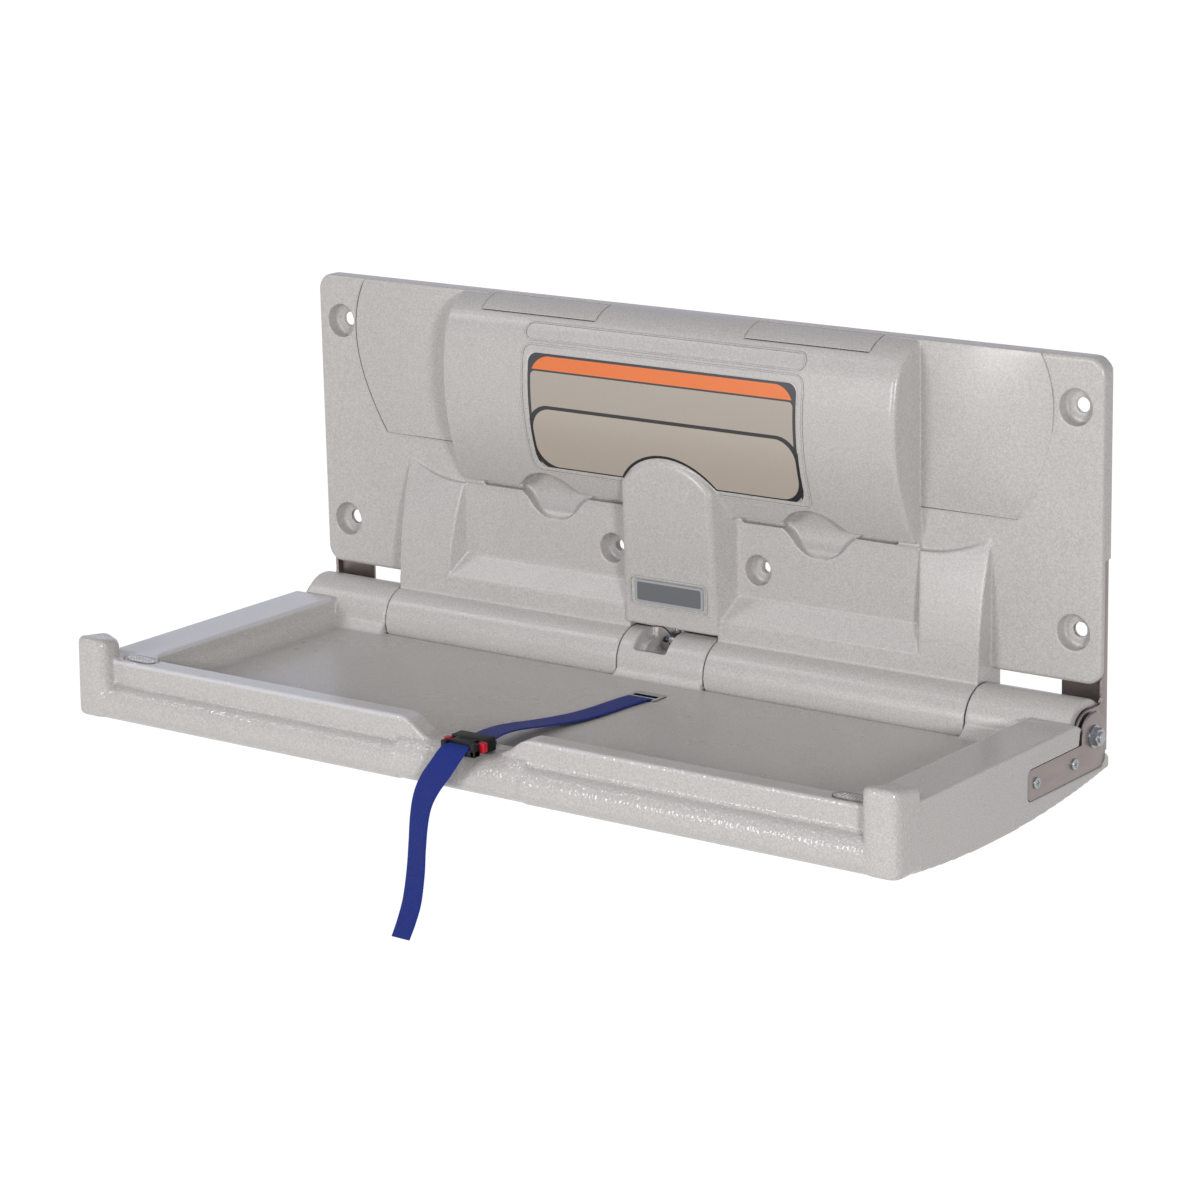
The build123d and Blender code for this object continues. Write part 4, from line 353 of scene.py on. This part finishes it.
def enamelled_plate():
    """Satin aluminium plate, its middle filled with dark enamel and left blank."""
    material, tree, surface, place = start_material(
        "enamelled_aluminium_plate", "#A9ABAD", 0.34, 0.35)
    parts = add(tree, "ShaderNodeSeparateXYZ", {"Vector": place})
    field = rounded_field(
        tree, parts.outputs["X"], parts.outputs["Z"], NAME_PLATE_Z * MM, 0.0368, 0.0088, 0.002)
    colour = mix(tree, field, "#B4B6B8", "#77797C")
    tree.links.new(colour, surface.inputs["Base Color"])
    return material


plastic = granite_plastic()
steel = brushed_steel()
zinc = plated_metal("bright_zinc_plate", "#85878A", "#B6B9BB", 0.25, 380.0)
axle = plated_metal("turned_axle_steel", "#8E9092", "#B5B7B9", 0.3, 220.0)
chrome = plated_metal("polished_chrome_plate", "#85888B", "#B4B7BA", 0.08, 90.0)
spring_chrome = plated_metal("hard_chromed_rod", "#B9BCBF", "#DADCDE", 0.12, 90.0)
plate_metal = enamelled_plate()
# painted shade: the same plastic darkened, standing for the shade down in a narrow groove, where
# little light comes
groove_shade_plastic = moulded_colour("painted_groove_shade", "#625E5B", "#74706D", 0.5, 620.0)
nylon = moulded_colour("natural_nylon", "#D6D2C6", "#E6E3D8", 0.45, 900.0)
black_plastic = moulded_colour("black_acetal", "#080808", "#100F0F", 0.5, 900.0)
red_plastic = moulded_colour("red_acetal", "#B8142A", "#D42238", 0.35, 900.0)
tube_paint = moulded_colour("black_tube_enamel", "#151517", "#232326", 0.3, 300.0)
webbing = woven_webbing()
film = printed_film()


# ---------------------------------------------------------------- pieces

def finish(piece, material, body, slot, *nodes):
    """Gives a piece its material, its body and the CAD nodes it stands for; the slot argument is
    not used.
    """
    piece.data.materials.clear()
    piece.data.materials.append(material)
    if body:
        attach(piece, body)
    if nodes:
        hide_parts(*nodes)
    return piece


def new_piece(name, form):
    """Turns a bmesh into an object at the origin, its place in its mesh."""
    mesh = bpy.data.meshes.new(name)
    form.to_mesh(mesh)
    form.free()
    piece = bpy.data.objects.new(name, mesh)
    bpy.context.scene.collection.objects.link(piece)
    mesh.shade_smooth()
    return piece


def settle(piece):
    """Applies a piece's modifiers."""
    bpy.context.view_layer.update()
    graph = bpy.context.evaluated_depsgraph_get()
    mesh = bpy.data.meshes.new_from_object(piece.evaluated_get(graph))
    piece.modifiers.clear()
    piece.data = mesh
    mesh.shade_smooth()


def unique(items):
    """The items once each, in order, so that each run builds the same mesh."""
    return list(dict.fromkeys(items))


def round_edges(form, edges, radius, segments, clamp=False):
    """Rounds edges by a radius in millimetres and gives the new faces."""
    return bmesh.ops.bevel(form, geom=edges, offset=radius * MM, offset_type="OFFSET",
                           segments=segments, profile=0.5, affect="EDGES", material=-1,
                           clamp_overlap=clamp)["faces"]


def shift(form, vertices, x, y, z):
    """Moves vertices by a distance in millimetres."""
    bmesh.ops.translate(form, verts=vertices, vec=Vector((x, y, z)) * MM)


def extruded(form, faces, x, y, z, keep=True):
    """Extrudes faces by a distance in millimetres and gives the new vertices."""
    found = bmesh.ops.extrude_face_region(form, geom=faces, use_keep_orig=keep)["geom"]
    far = [v for v in found if isinstance(v, bmesh.types.BMVert)]
    shift(form, far, x, y, z)
    return far


def islands(form):
    """The separate shells of a bmesh, each as a list of vertices."""
    left = set(form.verts)
    shells = []
    while left:
        shell = [left.pop()]
        for vertex in shell:
            for edge in vertex.link_edges:
                other = edge.other_vert(vertex)
                if other in left:
                    left.remove(other)
                    shell.append(other)
        shells.append(shell)
    return shells


def merged_copy(node):
    """A CAD node's mesh as one joined bmesh."""
    form = bmesh.new()
    form.from_mesh(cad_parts[node].data)
    bmesh.ops.remove_doubles(form, verts=form.verts, dist=0.000002)
    return form


def post_room():
    """What is cut off the tray's corners, above bar and rim, to make room for the full posts."""
    front_y, rear_y, floor_z, top_z = -378.0, -318.0, -170.3, -140.0
    inner_x, outer_x = 421.0, 470.0
    middle_y, middle_z = BAR_CENTRE
    outline = [(front_y, top_z), (front_y, middle_z)]
    for i in range(9):
        angle = math.radians(90 - 90 * i / 8)
        outline.append((middle_y - BAR_RADIUS * math.sin(angle),
                        middle_z + BAR_RADIUS * math.cos(angle)))
    outline += [(middle_y, floor_z), (rear_y, floor_z), (rear_y, top_z)]
    form = bmesh.new()
    for low in (inner_x, -outer_x):
        corners = [form.verts.new((low * MM, y * MM, z * MM)) for y, z in outline]
        extruded(form, [form.faces.new(corners)], outer_x - inner_x, 0.0, 0.0)
    bmesh.ops.recalc_face_normals(form, faces=form.faces)
    return new_piece("post_room", form)


def cut_away(piece, cutter):
    """Cuts one piece's form out of another and removes the cutter."""
    cut = piece.modifiers.new("cut", "BOOLEAN")
    cut.operation = "DIFFERENCE"
    cut.solver = "EXACT"
    cut.object = cutter
    settle(piece)
    bpy.data.objects.remove(cutter)


def softened(node, name, voxel, rounds, triangles, room=None, fuller=None):
    """Copy of a CAD moulding with eased edges, after room is cut and fuller forms are joined on."""
    form = merged_copy(node)
    shells = sorted(islands(form), key=len)
    inner = [v for shell in shells[:-1] for v in shell]
    bmesh.ops.delete(form, geom=inner, context="VERTS")
    piece = new_piece(name, form)
    if fuller:
        cut_away(piece, room())
        form = bmesh.new()
        form.from_mesh(piece.data)
        fuller(form)
        form.to_mesh(piece.data)
        form.free()
    even = piece.modifiers.new("even_mesh", "REMESH")
    even.mode = "VOXEL"
    even.voxel_size = voxel
    soft = piece.modifiers.new("soft_edges", "SMOOTH")
    soft.factor = 0.5
    soft.iterations = rounds
    settle(piece)
    count = sum(len(face.vertices) - 2 for face in piece.data.polygons)
    thin = piece.modifiers.new("thinned", "DECIMATE")
    thin.ratio = min(1.0, triangles / count)
    weighted = piece.modifiers.new("even_shading", "WEIGHTED_NORMAL")
    weighted.mode = "FACE_AREA"
    weighted.weight = 60
    settle(piece)
    return piece


def full_posts(form):
    """The tray's corner posts, round in plan, top and foot, and a little wider at the foot."""
    middle = Vector((POST_MIDDLE_X, POST_MIDDLE_Y, POST_MIDDLE_Z)) * MM
    for side in (-1, 1):
        corners = bmesh.ops.create_cube(form, size=1.0)["verts"]
        bmesh.ops.scale(form, verts=corners, vec=Vector(POST_SIZE) * MM)
        shift(form, corners, side * POST_MIDDLE_X, POST_MIDDLE_Y, POST_MIDDLE_Z)
        inner_rear = [v for v in corners if v.co.y > middle.y and abs(v.co.x) < middle.x]
        shift(form, inner_rear, 0.0, -18.0, 0.0)
        rear_top = [v for v in corners if v.co.y > middle.y and v.co.z > middle.z]
        shift(form, rear_top, 0.0, 0.0, -6.5)
        foot = [v for v in corners if v.co.z < middle.z and abs(v.co.x) > middle.x]
        shift(form, foot, side * 2.5, 0.0, 0.0)
        edges = unique(e for v in corners for e in v.link_edges)
        upright = [e for e in edges if abs(e.verts[0].co.z - e.verts[1].co.z) > 30.0 * MM]
        faces = round_edges(form, upright, 12.0, 8)
        column = unique(v for f in faces for v in f.verts)
        caps = unique(f for v in column for f in v.link_faces if len(f.verts) > 8)
        round_edges(form, unique(e for f in caps for e in f.edges), 6.0, 5)
    bmesh.ops.recalc_face_normals(form, faces=form.faces)


def side_pads():
    """Crisp raised pads on the panel's wings, bounded by a bowed line and a straight foot."""
    form = bmesh.new()
    foot_z = SIDE_PAD_FOOT_Z + 0.5
    top_z = PANEL_TOP_Z - 0.5
    line = [(x + 0.4, min(z, top_z)) for x, z in pad_bow()]
    line[-1] = (line[-1][0], foot_z)
    outline = line + [(SIDE_PAD_INNER_X, foot_z), (SIDE_PAD_INNER_X, top_z)]
    for side in (-1, 1):
        corners = [form.verts.new((side * x * MM, (SIDE_PAD_Y + 1.4) * MM, z * MM))
                   for x, z in outline]
        raised = extruded(form, [form.faces.new(corners)], 0.0, -1.8, 0.0)
        front = unique(e for v in raised for e in v.link_edges if e.other_vert(v) in raised)
        round_edges(form, front, 0.3, 2)
    bmesh.ops.recalc_face_normals(form, faces=form.faces)
    piece = new_piece("side_pad_faces", form)
    piece.data.set_sharp_from_angle(angle=math.radians(30.0))
    return piece


def eased(node, name, width):
    """Copy of a CAD node with its sharp edges broken by a small bevel."""
    form = merged_copy(node)
    bmesh.ops.dissolve_limit(form, angle_limit=math.radians(1.5),
                             verts=form.verts, edges=form.edges)
    sharp = [e for e in form.edges
             if len(e.link_faces) == 2 and e.calc_face_angle(0.0) > math.radians(25.0)]
    round_edges(form, sharp, width, 2, clamp=True)
    bmesh.ops.triangulate(form, faces=form.faces)
    piece = new_piece(name, form)
    piece.data.set_sharp_from_angle(angle=math.radians(35.0))
    return piece


def dispenser_y(z):
    """Y of the dispenser's front at height z, in millimetres: a barrel under a rounded shoulder."""
    if z > SHOULDER_FOOT_Z:
        middle_y, middle_z = SHOULDER_MIDDLE
        return middle_y - math.sqrt(max(SHOULDER_RADIUS ** 2 - (z - middle_z) ** 2, 0.0))
    return BARREL_RADIUS - BARREL_REACH - math.sqrt(BARREL_RADIUS ** 2 - (z - BARREL_MIDDLE_Z) ** 2)


def pillar_y(z):
    """Y of the pillar's leaning front at height z, in millimetres."""
    return PILLAR_FRONT_Y - PILLAR_LEAN * (z - NAME_PLATE_Z)


def rounded_corners(half_x, low, high, radius):
    """Outline of a rounded rectangle in X and Z, in millimetres."""
    steps = 6
    points = []
    corners = [(half_x, high, 0), (-half_x, high, 90), (-half_x, low, 180), (half_x, low, 270)]
    for x, z, start in corners:
        middle_x = x - math.copysign(radius, x)
        middle_z = z - radius if z == high else z + radius
        for i in range(steps + 1):
            angle = math.radians(start + 90 * i / steps)
            points.append((middle_x + radius * math.cos(angle),
                           middle_z + radius * math.sin(angle)))
    return points


def raised_line(form, outline, face_y, width, height):
    """Adds a narrow raised line along an outline on the surface face_y(z); all in millimetres."""
    start = len(form.verts)
    face = form.faces.new([form.verts.new((x * MM, 0.0, z * MM)) for x, z in outline])
    face.normal_update()
    if face.normal.y > 0:
        face.normal_flip()
    bmesh.ops.inset_region(form, faces=[face], thickness=width * MM,
                           use_boundary=True, use_even_offset=True)
    bmesh.ops.delete(form, geom=[face], context="FACES")
    form.verts.ensure_lookup_table()
    ring = unique(f for v in form.verts[start:] for f in v.link_faces)
    extruded(form, ring, 0.0, -height, 0.0, keep=False)
    form.verts.ensure_lookup_table()
    # cut into steps of height, so that it bends with the surface
    step = 4.0
    low = min(z for _, z in outline)
    high = max(z for _, z in outline)
    level = low + step
    while level < high:
        own = form.verts[start:]
        edges = unique(e for v in own for e in v.link_edges)
        faces = unique(f for v in own for f in v.link_faces)
        bmesh.ops.bisect_plane(form, geom=own + edges + faces, dist=1e-7,
                               plane_co=(0, 0, level * MM), plane_no=(0, 0, 1))
        form.verts.ensure_lookup_table()
        level += step
    for vertex in form.verts[start:]:
        vertex.co.y += face_y(vertex.co.z / MM) * MM


def raised_lines():
    """The panel's raised lines: round the banner, the label and the name plate."""
    form = bmesh.new()
    for half_x, low, high, radius, surface_y, width, height in (
            (160.0, 113.6, 130.4, 8.3, dispenser_y, 1.3, 1.4),
            (160.8, -17.0, 110.9, 11.0, dispenser_y, 1.5, 1.3),
            (44.6, -132.4, -103.6, 5.0, pillar_y, 1.2, 1.3)):
        outline = rounded_corners(half_x, low, high, radius)
        # rooted 0.4 mm deep in the surface
        raised_line(form, outline, lambda z: surface_y(z) + 0.4, width, height)
    return new_piece("panel_raised_lines", form)


def pad_bow():
    """The side pad's bowed edge, from the panel's top to the pad's foot, in millimetres."""
    start, middle, end = (Vector(point) for point in (
        (384.0, PANEL_TOP_Z), (396.0, 78.0), (361.0, -5.0)))
    bend = middle * 2 - (start + end) / 2
    line = []
    for i in range(17):
        t = i / 16
        line.append(start * (1 - t) ** 2 + bend * 2 * t * (1 - t) + end * t ** 2)
    return line


def shade_ribbon(form, line, level, width, axes, closed=False):
    """Adds a flat ribbon along a line in two axes, at a level on the third, in millimetres."""
    first, second, third = axes
    count = len(line)
    rows = []
    for i, point in enumerate(line):
        before = line[i - 1] if closed or i else point
        after = line[(i + 1) % count] if closed or i < count - 1 else point
        run = (Vector(after) - Vector(before)).normalized()
        aside = Vector((run.y, -run.x)) * width / 2
        row = []
        for sign in (-1, 1):
            place = [0.0, 0.0, 0.0]
            place[first], place[second] = Vector(point) + aside * sign
            place[third] = level
            row.append(form.verts.new(Vector(place) * MM))
        rows.append(row)
    for i in range(count if closed else count - 1):
        a, b = rows[i], rows[(i + 1) % count]
        form.faces.new((a[0], a[1], b[1], b[0]))


def side_pad_groove_shades():
    """Painted shade: dark flat ribbons along the narrow grooves that bound the side pads."""
    form = bmesh.new()
    level, width = SIDE_PAD_Y - 0.3, 1.1
    for side in (-1, 1):
        bow = [(side * (x + 0.9), min(z, PANEL_TOP_Z - 2.0)) for x, z in pad_bow()]
        foot = [bow[-1], (side * SIDE_PAD_INNER_X, SIDE_PAD_FOOT_Z)]
        shade_ribbon(form, foot, level, width, (0, 2, 1))
        # the right bow is a plain step that catches the light
        if side < 0:
            shade_ribbon(form, bow, level, width, (0, 2, 1))
    bmesh.ops.recalc_face_normals(form, faces=form.faces)
    return new_piece("side_pad_groove_shades", form)


def corner_pad_groove_shades():
    """Painted shade: dark flat ribbons along the grooves round the two oval pads on the rim."""
    form = bmesh.new()
    middle_x, middle_y, _ = PAD_MIDDLE
    half_straight, radius, level, width = 11.1, 8.5, -169.75, 1.0
    for side in (-1, 1):
        oval = []
        for i in range(40):
            angle = math.radians(9 * i)
            half = math.copysign(half_straight, math.cos(angle))
            oval.append((side * middle_x + half + radius * math.cos(angle),
                         middle_y + radius * math.sin(angle)))
        shade_ribbon(form, oval, level, width, (0, 1, 2), closed=True)
    bmesh.ops.recalc_face_normals(form, faces=form.faces)
    return new_piece("corner_pad_groove_shades", form)


def pad_studs():
    """Rows of small domes on the two oval pads of the tray's rim."""
    form = bmesh.new()
    middle_x, middle_y, top_z = PAD_MIDDLE
    pitch, row_pitch, radius, flattening = 3.7, 3.6, 1.25, 0.6
    for side in (-1, 1):
        for row, count in ((-1, 7), (0, 9), (1, 7)):
            for i in range(count):
                dome = bmesh.ops.create_icosphere(form, subdivisions=2, radius=radius * MM)["verts"]
                bmesh.ops.scale(form, verts=dome, vec=(1.0, 1.0, flattening))
                x = side * (middle_x + (i - (count - 1) / 2) * pitch)
                shift(form, dome, x, middle_y + row * row_pitch, top_z)
    return new_piece("corner_pad_studs", form)


def block(form, low, high, edge):
    """Adds a box between two corners, in millimetres, with its edges broken."""
    corners = bmesh.ops.create_cube(form, size=1.0)["verts"]
    bmesh.ops.scale(form, verts=corners, vec=(Vector(high) - Vector(low)) * MM)
    shift(form, corners, *(Vector(low) + Vector(high)) / 2)
    round_edges(form, unique(e for v in corners for e in v.link_edges), edge, 2, clamp=True)


def buckle_body():
    """The buckle's housing: a thick rear, a waist, two lugs beside the strap, and grip ribs."""
    form = bmesh.new()
    for low, high, edge in (
            ((-4.8, -372.5, -186.4), (34.8, -357.0, -173.2), 2.0),
            ((3.6, -383.5, -186.4), (26.4, -365.0, -173.9), 0.8),
            ((-4.0, -388.0, -186.4), (34.0, -379.4, -179.9), 1.0),
            ((-4.0, -388.0, -186.4), (1.6, -379.4, -174.8), 1.4),
            ((28.4, -388.0, -186.4), (34.0, -379.4, -174.8), 1.4),
            ((-2.0, -383.6, -177.3), (32.0, -379.8, -174.3), 0.7)):
        block(form, low, high, edge)
    for i in range(4):
        y = -377.2 + 2.6 * i
        block(form, (7.0, y, -174.4), (23.0, y + 1.1, -173.4), 0.3)
    return new_piece("buckle_body", form)


def release_button(side):
    """A release button: a block that slides in the housing, with two teeth on side and top."""
    form = bmesh.new()
    turned = 1 if side == "left" else -1

    def part(low, high, edge):
        ends = sorted(BUCKLE_MIDDLE_X + turned * (x - BUCKLE_MIDDLE_X) for x in (low[0], high[0]))
        block(form, (ends[0], *low[1:]), (ends[1], *high[1:]), edge)

    part((-6.6, -379.0, -183.4), (0.4, -372.9, -176.9), 0.5)
    for low_y in (-378.7, -375.3):
        part((-7.2, low_y, -183.2), (-1.0, low_y + 2.1, -174.7), 0.35)
    return new_piece("release_button_" + side, form)


def spline_points(points):
    """Points on a smooth curve through the given ones, eight to each span."""
    steps = 8
    ends = [points[0] * 2 - points[1]] + points + [points[-1] * 2 - points[-2]]
    line = []
    for i in range(1, len(ends) - 2):
        a, b, c, d = ends[i - 1:i + 3]
        for k in range(steps):
            t = k / steps
            line.append(0.5 * (2 * b + (c - a) * t + (2 * a - 5 * b + 4 * c - d) * t * t
                               + (3 * b - a - 3 * c + d) * t ** 3))
    return line + [points[-1]]


def strap(name, stations):
    """A webbing ribbon through stations, each a place and a direction across; UV in millimetres."""
    centres = spline_points([Vector(middle) for middle, _ in stations])
    sides = spline_points([Vector(across).normalized() for _, across in stations])
    form = bmesh.new()
    bmesh.ops.create_grid(form, x_segments=8, y_segments=len(centres) - 1, size=0.5)
    run = [0.0]
    for a, b in zip(centres, centres[1:]):
        run.append(run[-1] + (b - a).length)
    uv = form.loops.layers.uv.new("strap")
    place = {}
    for vertex in form.verts:
        share = vertex.co.x + 0.5
        row = round((vertex.co.y + 0.5) * (len(centres) - 1))
        place[vertex] = (share * STRAP_WIDTH, run[row])
        aside = sides[row].normalized() * (share - 0.5) * STRAP_WIDTH
        vertex.co = (centres[row] + aside) * MM
    for face in form.faces:
        for loop in face.loops:
            loop[uv].uv = place[loop.vert]
    bmesh.ops.recalc_face_normals(form, faces=form.faces)
    piece = new_piece(name, form)
    thick = piece.modifiers.new("thickness", "SOLIDIFY")
    thick.thickness = STRAP_THICKNESS * MM
    thick.offset = 0.0
    soft = piece.modifiers.new("soft_selvedge", "BEVEL")
    soft.width = STRAP_THICKNESS * 0.35 * MM
    soft.segments = 2
    soft.limit_method = "ANGLE"
    soft.angle_limit = math.radians(50)
    settle(piece)
    return piece


# mouldings
panel = softened("wall_panel", "panel_moulding", 0.0012, 2, 195000)
finish(panel, plastic, "panel", "moulded_plastic", "wall_panel")
tray = softened("tray_moulding", "tray_shell", 0.0013, 8, 195000, post_room, full_posts)
finish(tray, plastic, "tray", "moulded_plastic", "tray_moulding")
for side in ("left", "right"):
    lid = softened("lid_" + side, "liner_lid_" + side, 0.0006, 3, 24000)
    finish(lid, plastic, side + "_lid", "moulded_plastic", "lid_" + side)
finish(raised_lines(), plastic, "panel", "moulded_plastic")
finish(side_pads(), plastic, "panel", "moulded_plastic")
# painted shade: dark flat ribbons stand for the shade in the pads' grooves
finish(side_pad_groove_shades(), groove_shade_plastic, "panel", "moulded_plastic")
finish(corner_pad_groove_shades(), groove_shade_plastic, "tray", "moulded_plastic")
finish(pad_studs(), plastic, "tray", "moulded_plastic")
finish(buckle_body(), black_plastic, "tray", "buckle_plastic", "buckle_housing")
for side in ("left", "right"):
    finish(release_button(side), red_plastic, side + "_button", "button_plastic",
           "buckle_button_" + side)

# steel side plates
for side in ("left", "right"):
    for node_name, name, body in (("wall_bracket_", "bracket_plate_", "panel"),
                                  ("arm_plate_", "arm_steel_", "tray")):
        plate = eased(node_name + side, name + side, 0.35)
        finish(plate, steel, body, "steel_plate", node_name + side)

# what stays as the CAD made it, with its finish
for material, names in (
        (zinc, ("stop_screws", "hinge_nuts", "hinge_washers", "arm_screws",
                "spring_bracket", "spring_pin", "crank_pin", "lid_pins")),
        (axle, ("hinge_rod",)),
        (nylon, ("spacer_washers", "hinge_bushes")),
        (film, ("label_sheet",)),
        (plate_metal, ("name_plate",)),
        (tube_paint, ("gas_cylinder",)),
        (spring_chrome, ("gas_rod", "gas_piston")),
        (chrome, ("strap_plate", "strap_anchor_bar")),
        (black_plastic, ("buckle_tongue",)),
        (plastic, ("corner_pads",))):
    for node_name in names:
        for material_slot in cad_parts[node_name].material_slots:
            material_slot.material = material

# strap
deck_stations = [
    ((21.0, -117.0, -206.5), (1, 0, 0)),
    ((21.0, -120.0, -198.6), (1, 0, 0)),
    ((20.5, -127.5, -196.2), (1, 0, 0)),
    ((17.5, -150.0, -196.3), (1, -0.1, 0)),
    ((15.5, -179.0, -196.2), (1, -0.1, 0)),
    ((12.5, -205.0, -195.6), (1, -0.17, 0)),
    ((7.5, -229.0, -194.4), (1, -0.2, 0)),
    ((3.0, -253.0, -192.2), (1, -0.18, 0)),
    ((-0.8, -277.0, -189.2), (1, -0.1, 0)),
    ((-1.0, -299.0, -186.4), (1, 0.05, 0)),
    ((2.0, -322.0, -184.2), (1, 0.2, 0)),
    ((8.5, -345.0, -182.8), (1, 0.2, 0)),
    ((14.5, -362.0, -181.9), (1, 0, 0)),
]
deck_strap = strap("strap_over_deck", deck_stations)
finish(deck_strap, webbing, "tray", "webbing", "strap_deck_run")

hang_stations = [
    ((15.0, -380.0, -178.4), (1, 0, 0)),
    ((14.2, -386.5, -178.8), (1, -0.05, -0.05)),
    ((9.5, -391.2, -185.5), (1, -0.05, -0.35)),
    ((-2.5, -389.6, -200.0), (1, -0.08, -0.6)),
    ((-18.5, -386.0, -218.0), (1, -0.12, -0.62)),
    ((-30.5, -382.6, -236.0), (1, -0.18, -0.42)),
    ((-36.5, -381.5, -256.0), (1, -0.22, -0.2)),
    ((-39.8, -381.5, -282.0), (1, -0.25, -0.06)),
    ((-42.5, -381.5, -306.0), (1, -0.22, -0.04)),
    ((-47.8, -381.5, -334.0), (1, -0.2, -0.02)),
    ((-55.5, -381.5, -356.0), (1, -0.2, 0.03)),
    ((-63.0, -381.5, -373.0), (1, -0.2, 0.08)),
]
hanging_strap = strap("strap_hanging", hang_stations)
finish(hanging_strap, webbing, None, "webbing", "strap_front_drape", "strap_tail")
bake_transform(hanging_strap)


# ---------------------------------------------------------------- stage

def seen_rays(tree):
    """The light path, and 1 for rays from the camera, off glossy faces or through clear ones."""
    path = add(tree, "ShaderNodeLightPath")
    seen = calculate(tree, "MAXIMUM", path.outputs["Is Camera Ray"], path.outputs["Is Glossy Ray"])
    return path, calculate(tree, "MAXIMUM", seen, path.outputs["Is Transmission Ray"])


def stage():
    """Pale floor below and white surroundings."""
    material, tree, surface, _ = start_material("studio_floor", "#F2F2F2", 0.9)
    _, seen = seen_rays(tree)
    surface.inputs["Emission Color"].default_value = linear("#FFFFFF")
    glow = calculate(tree, "MULTIPLY", seen, WHITE_SEEN)
    tree.links.new(glow, surface.inputs["Emission Strength"])
    # its own colour is darker where it is seen, so that light and glow together stay white
    shade = mix(tree, seen, "#F2F2F2", "#6A6A6A")
    tree.links.new(shade, surface.inputs["Base Color"])
    form = bmesh.new()
    bmesh.ops.create_grid(form, x_segments=1, y_segments=1, size=FLOOR_HALF)
    bmesh.ops.translate(form, verts=form.verts, vec=(0.0, 0.0, FLOOR_Z))
    floor = new_piece("studio_floor", form)
    floor.data.materials.append(material)
    floor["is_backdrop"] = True

    world = bpy.data.worlds.new("studio")
    bpy.context.scene.world = world
    world.use_nodes = True
    tree = world.node_tree
    background = tree.nodes["Background"]
    path, seen = seen_rays(tree)
    level = rescale(tree, seen, 0.0, 1.0, WORLD_LIGHT, 1.0)
    # polished and glossy faces pick up the cool white of the backdrop
    colour = mix(tree, path.outputs["Is Glossy Ray"], "#FFFFFF", "#EEF0FF")
    tree.links.new(colour, background.inputs["Color"])
    tree.links.new(level, background.inputs["Strength"])


def lamp(name, place, target, size, power, along=(0.0, 0.0, 1.0)):
    """A flat lamp aimed at a target; the second size runs along the given direction."""
    data = bpy.data.lights.new(name, "AREA")
    data.shape = "RECTANGLE"
    data.size, data.size_y = size
    data.energy = power
    piece = bpy.data.objects.new(name, data)
    back = (Vector(place) - Vector(target)).normalized()
    up = (Vector(along) - back * back.dot(Vector(along))).normalized()
    turn = Matrix((up.cross(back), up, back)).transposed().to_4x4()
    piece.matrix_world = Matrix.Translation(place) @ turn
    bpy.context.scene.collection.objects.link(piece)


def camera():
    """Camera at the photograph's viewing angle."""
    data = bpy.data.cameras.new("camera")
    data.lens = LENS_MM
    data.sensor_width = 36.0
    data.shift_x, data.shift_y = LENS_SHIFT
    data.clip_end = 100.0
    piece = bpy.data.objects.new("camera", data)
    turn = Matrix((CAMERA_RIGHT, CAMERA_UP, CAMERA_BACK)).transposed().to_4x4()
    piece.matrix_world = Matrix.Translation(CAMERA_PLACE) @ turn
    bpy.context.scene.collection.objects.link(piece)
    bpy.context.scene.camera = piece


stage()
lamp("right_key", (2.46, -2.24, 0.50), LAMP_TARGET, (0.4, 0.4), 40.0)
lamp("front_fill", (-0.83, -3.23, 0.50), LAMP_TARGET, (0.9, 0.9), 34.0)
lamp("edge_glint", (-2.2, -1.3, 2.1), (-0.1, -0.3, -0.15), (0.07, 1.5), 11.0, (1.0, 0.0, 0.0))
camera()
bpy.context.scene.view_settings.view_transform = "Standard"

plain = lambda box: [[float(v) for v in corner] for corner in box]
{"cad": plain(cad_box), "visual": plain(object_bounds())}
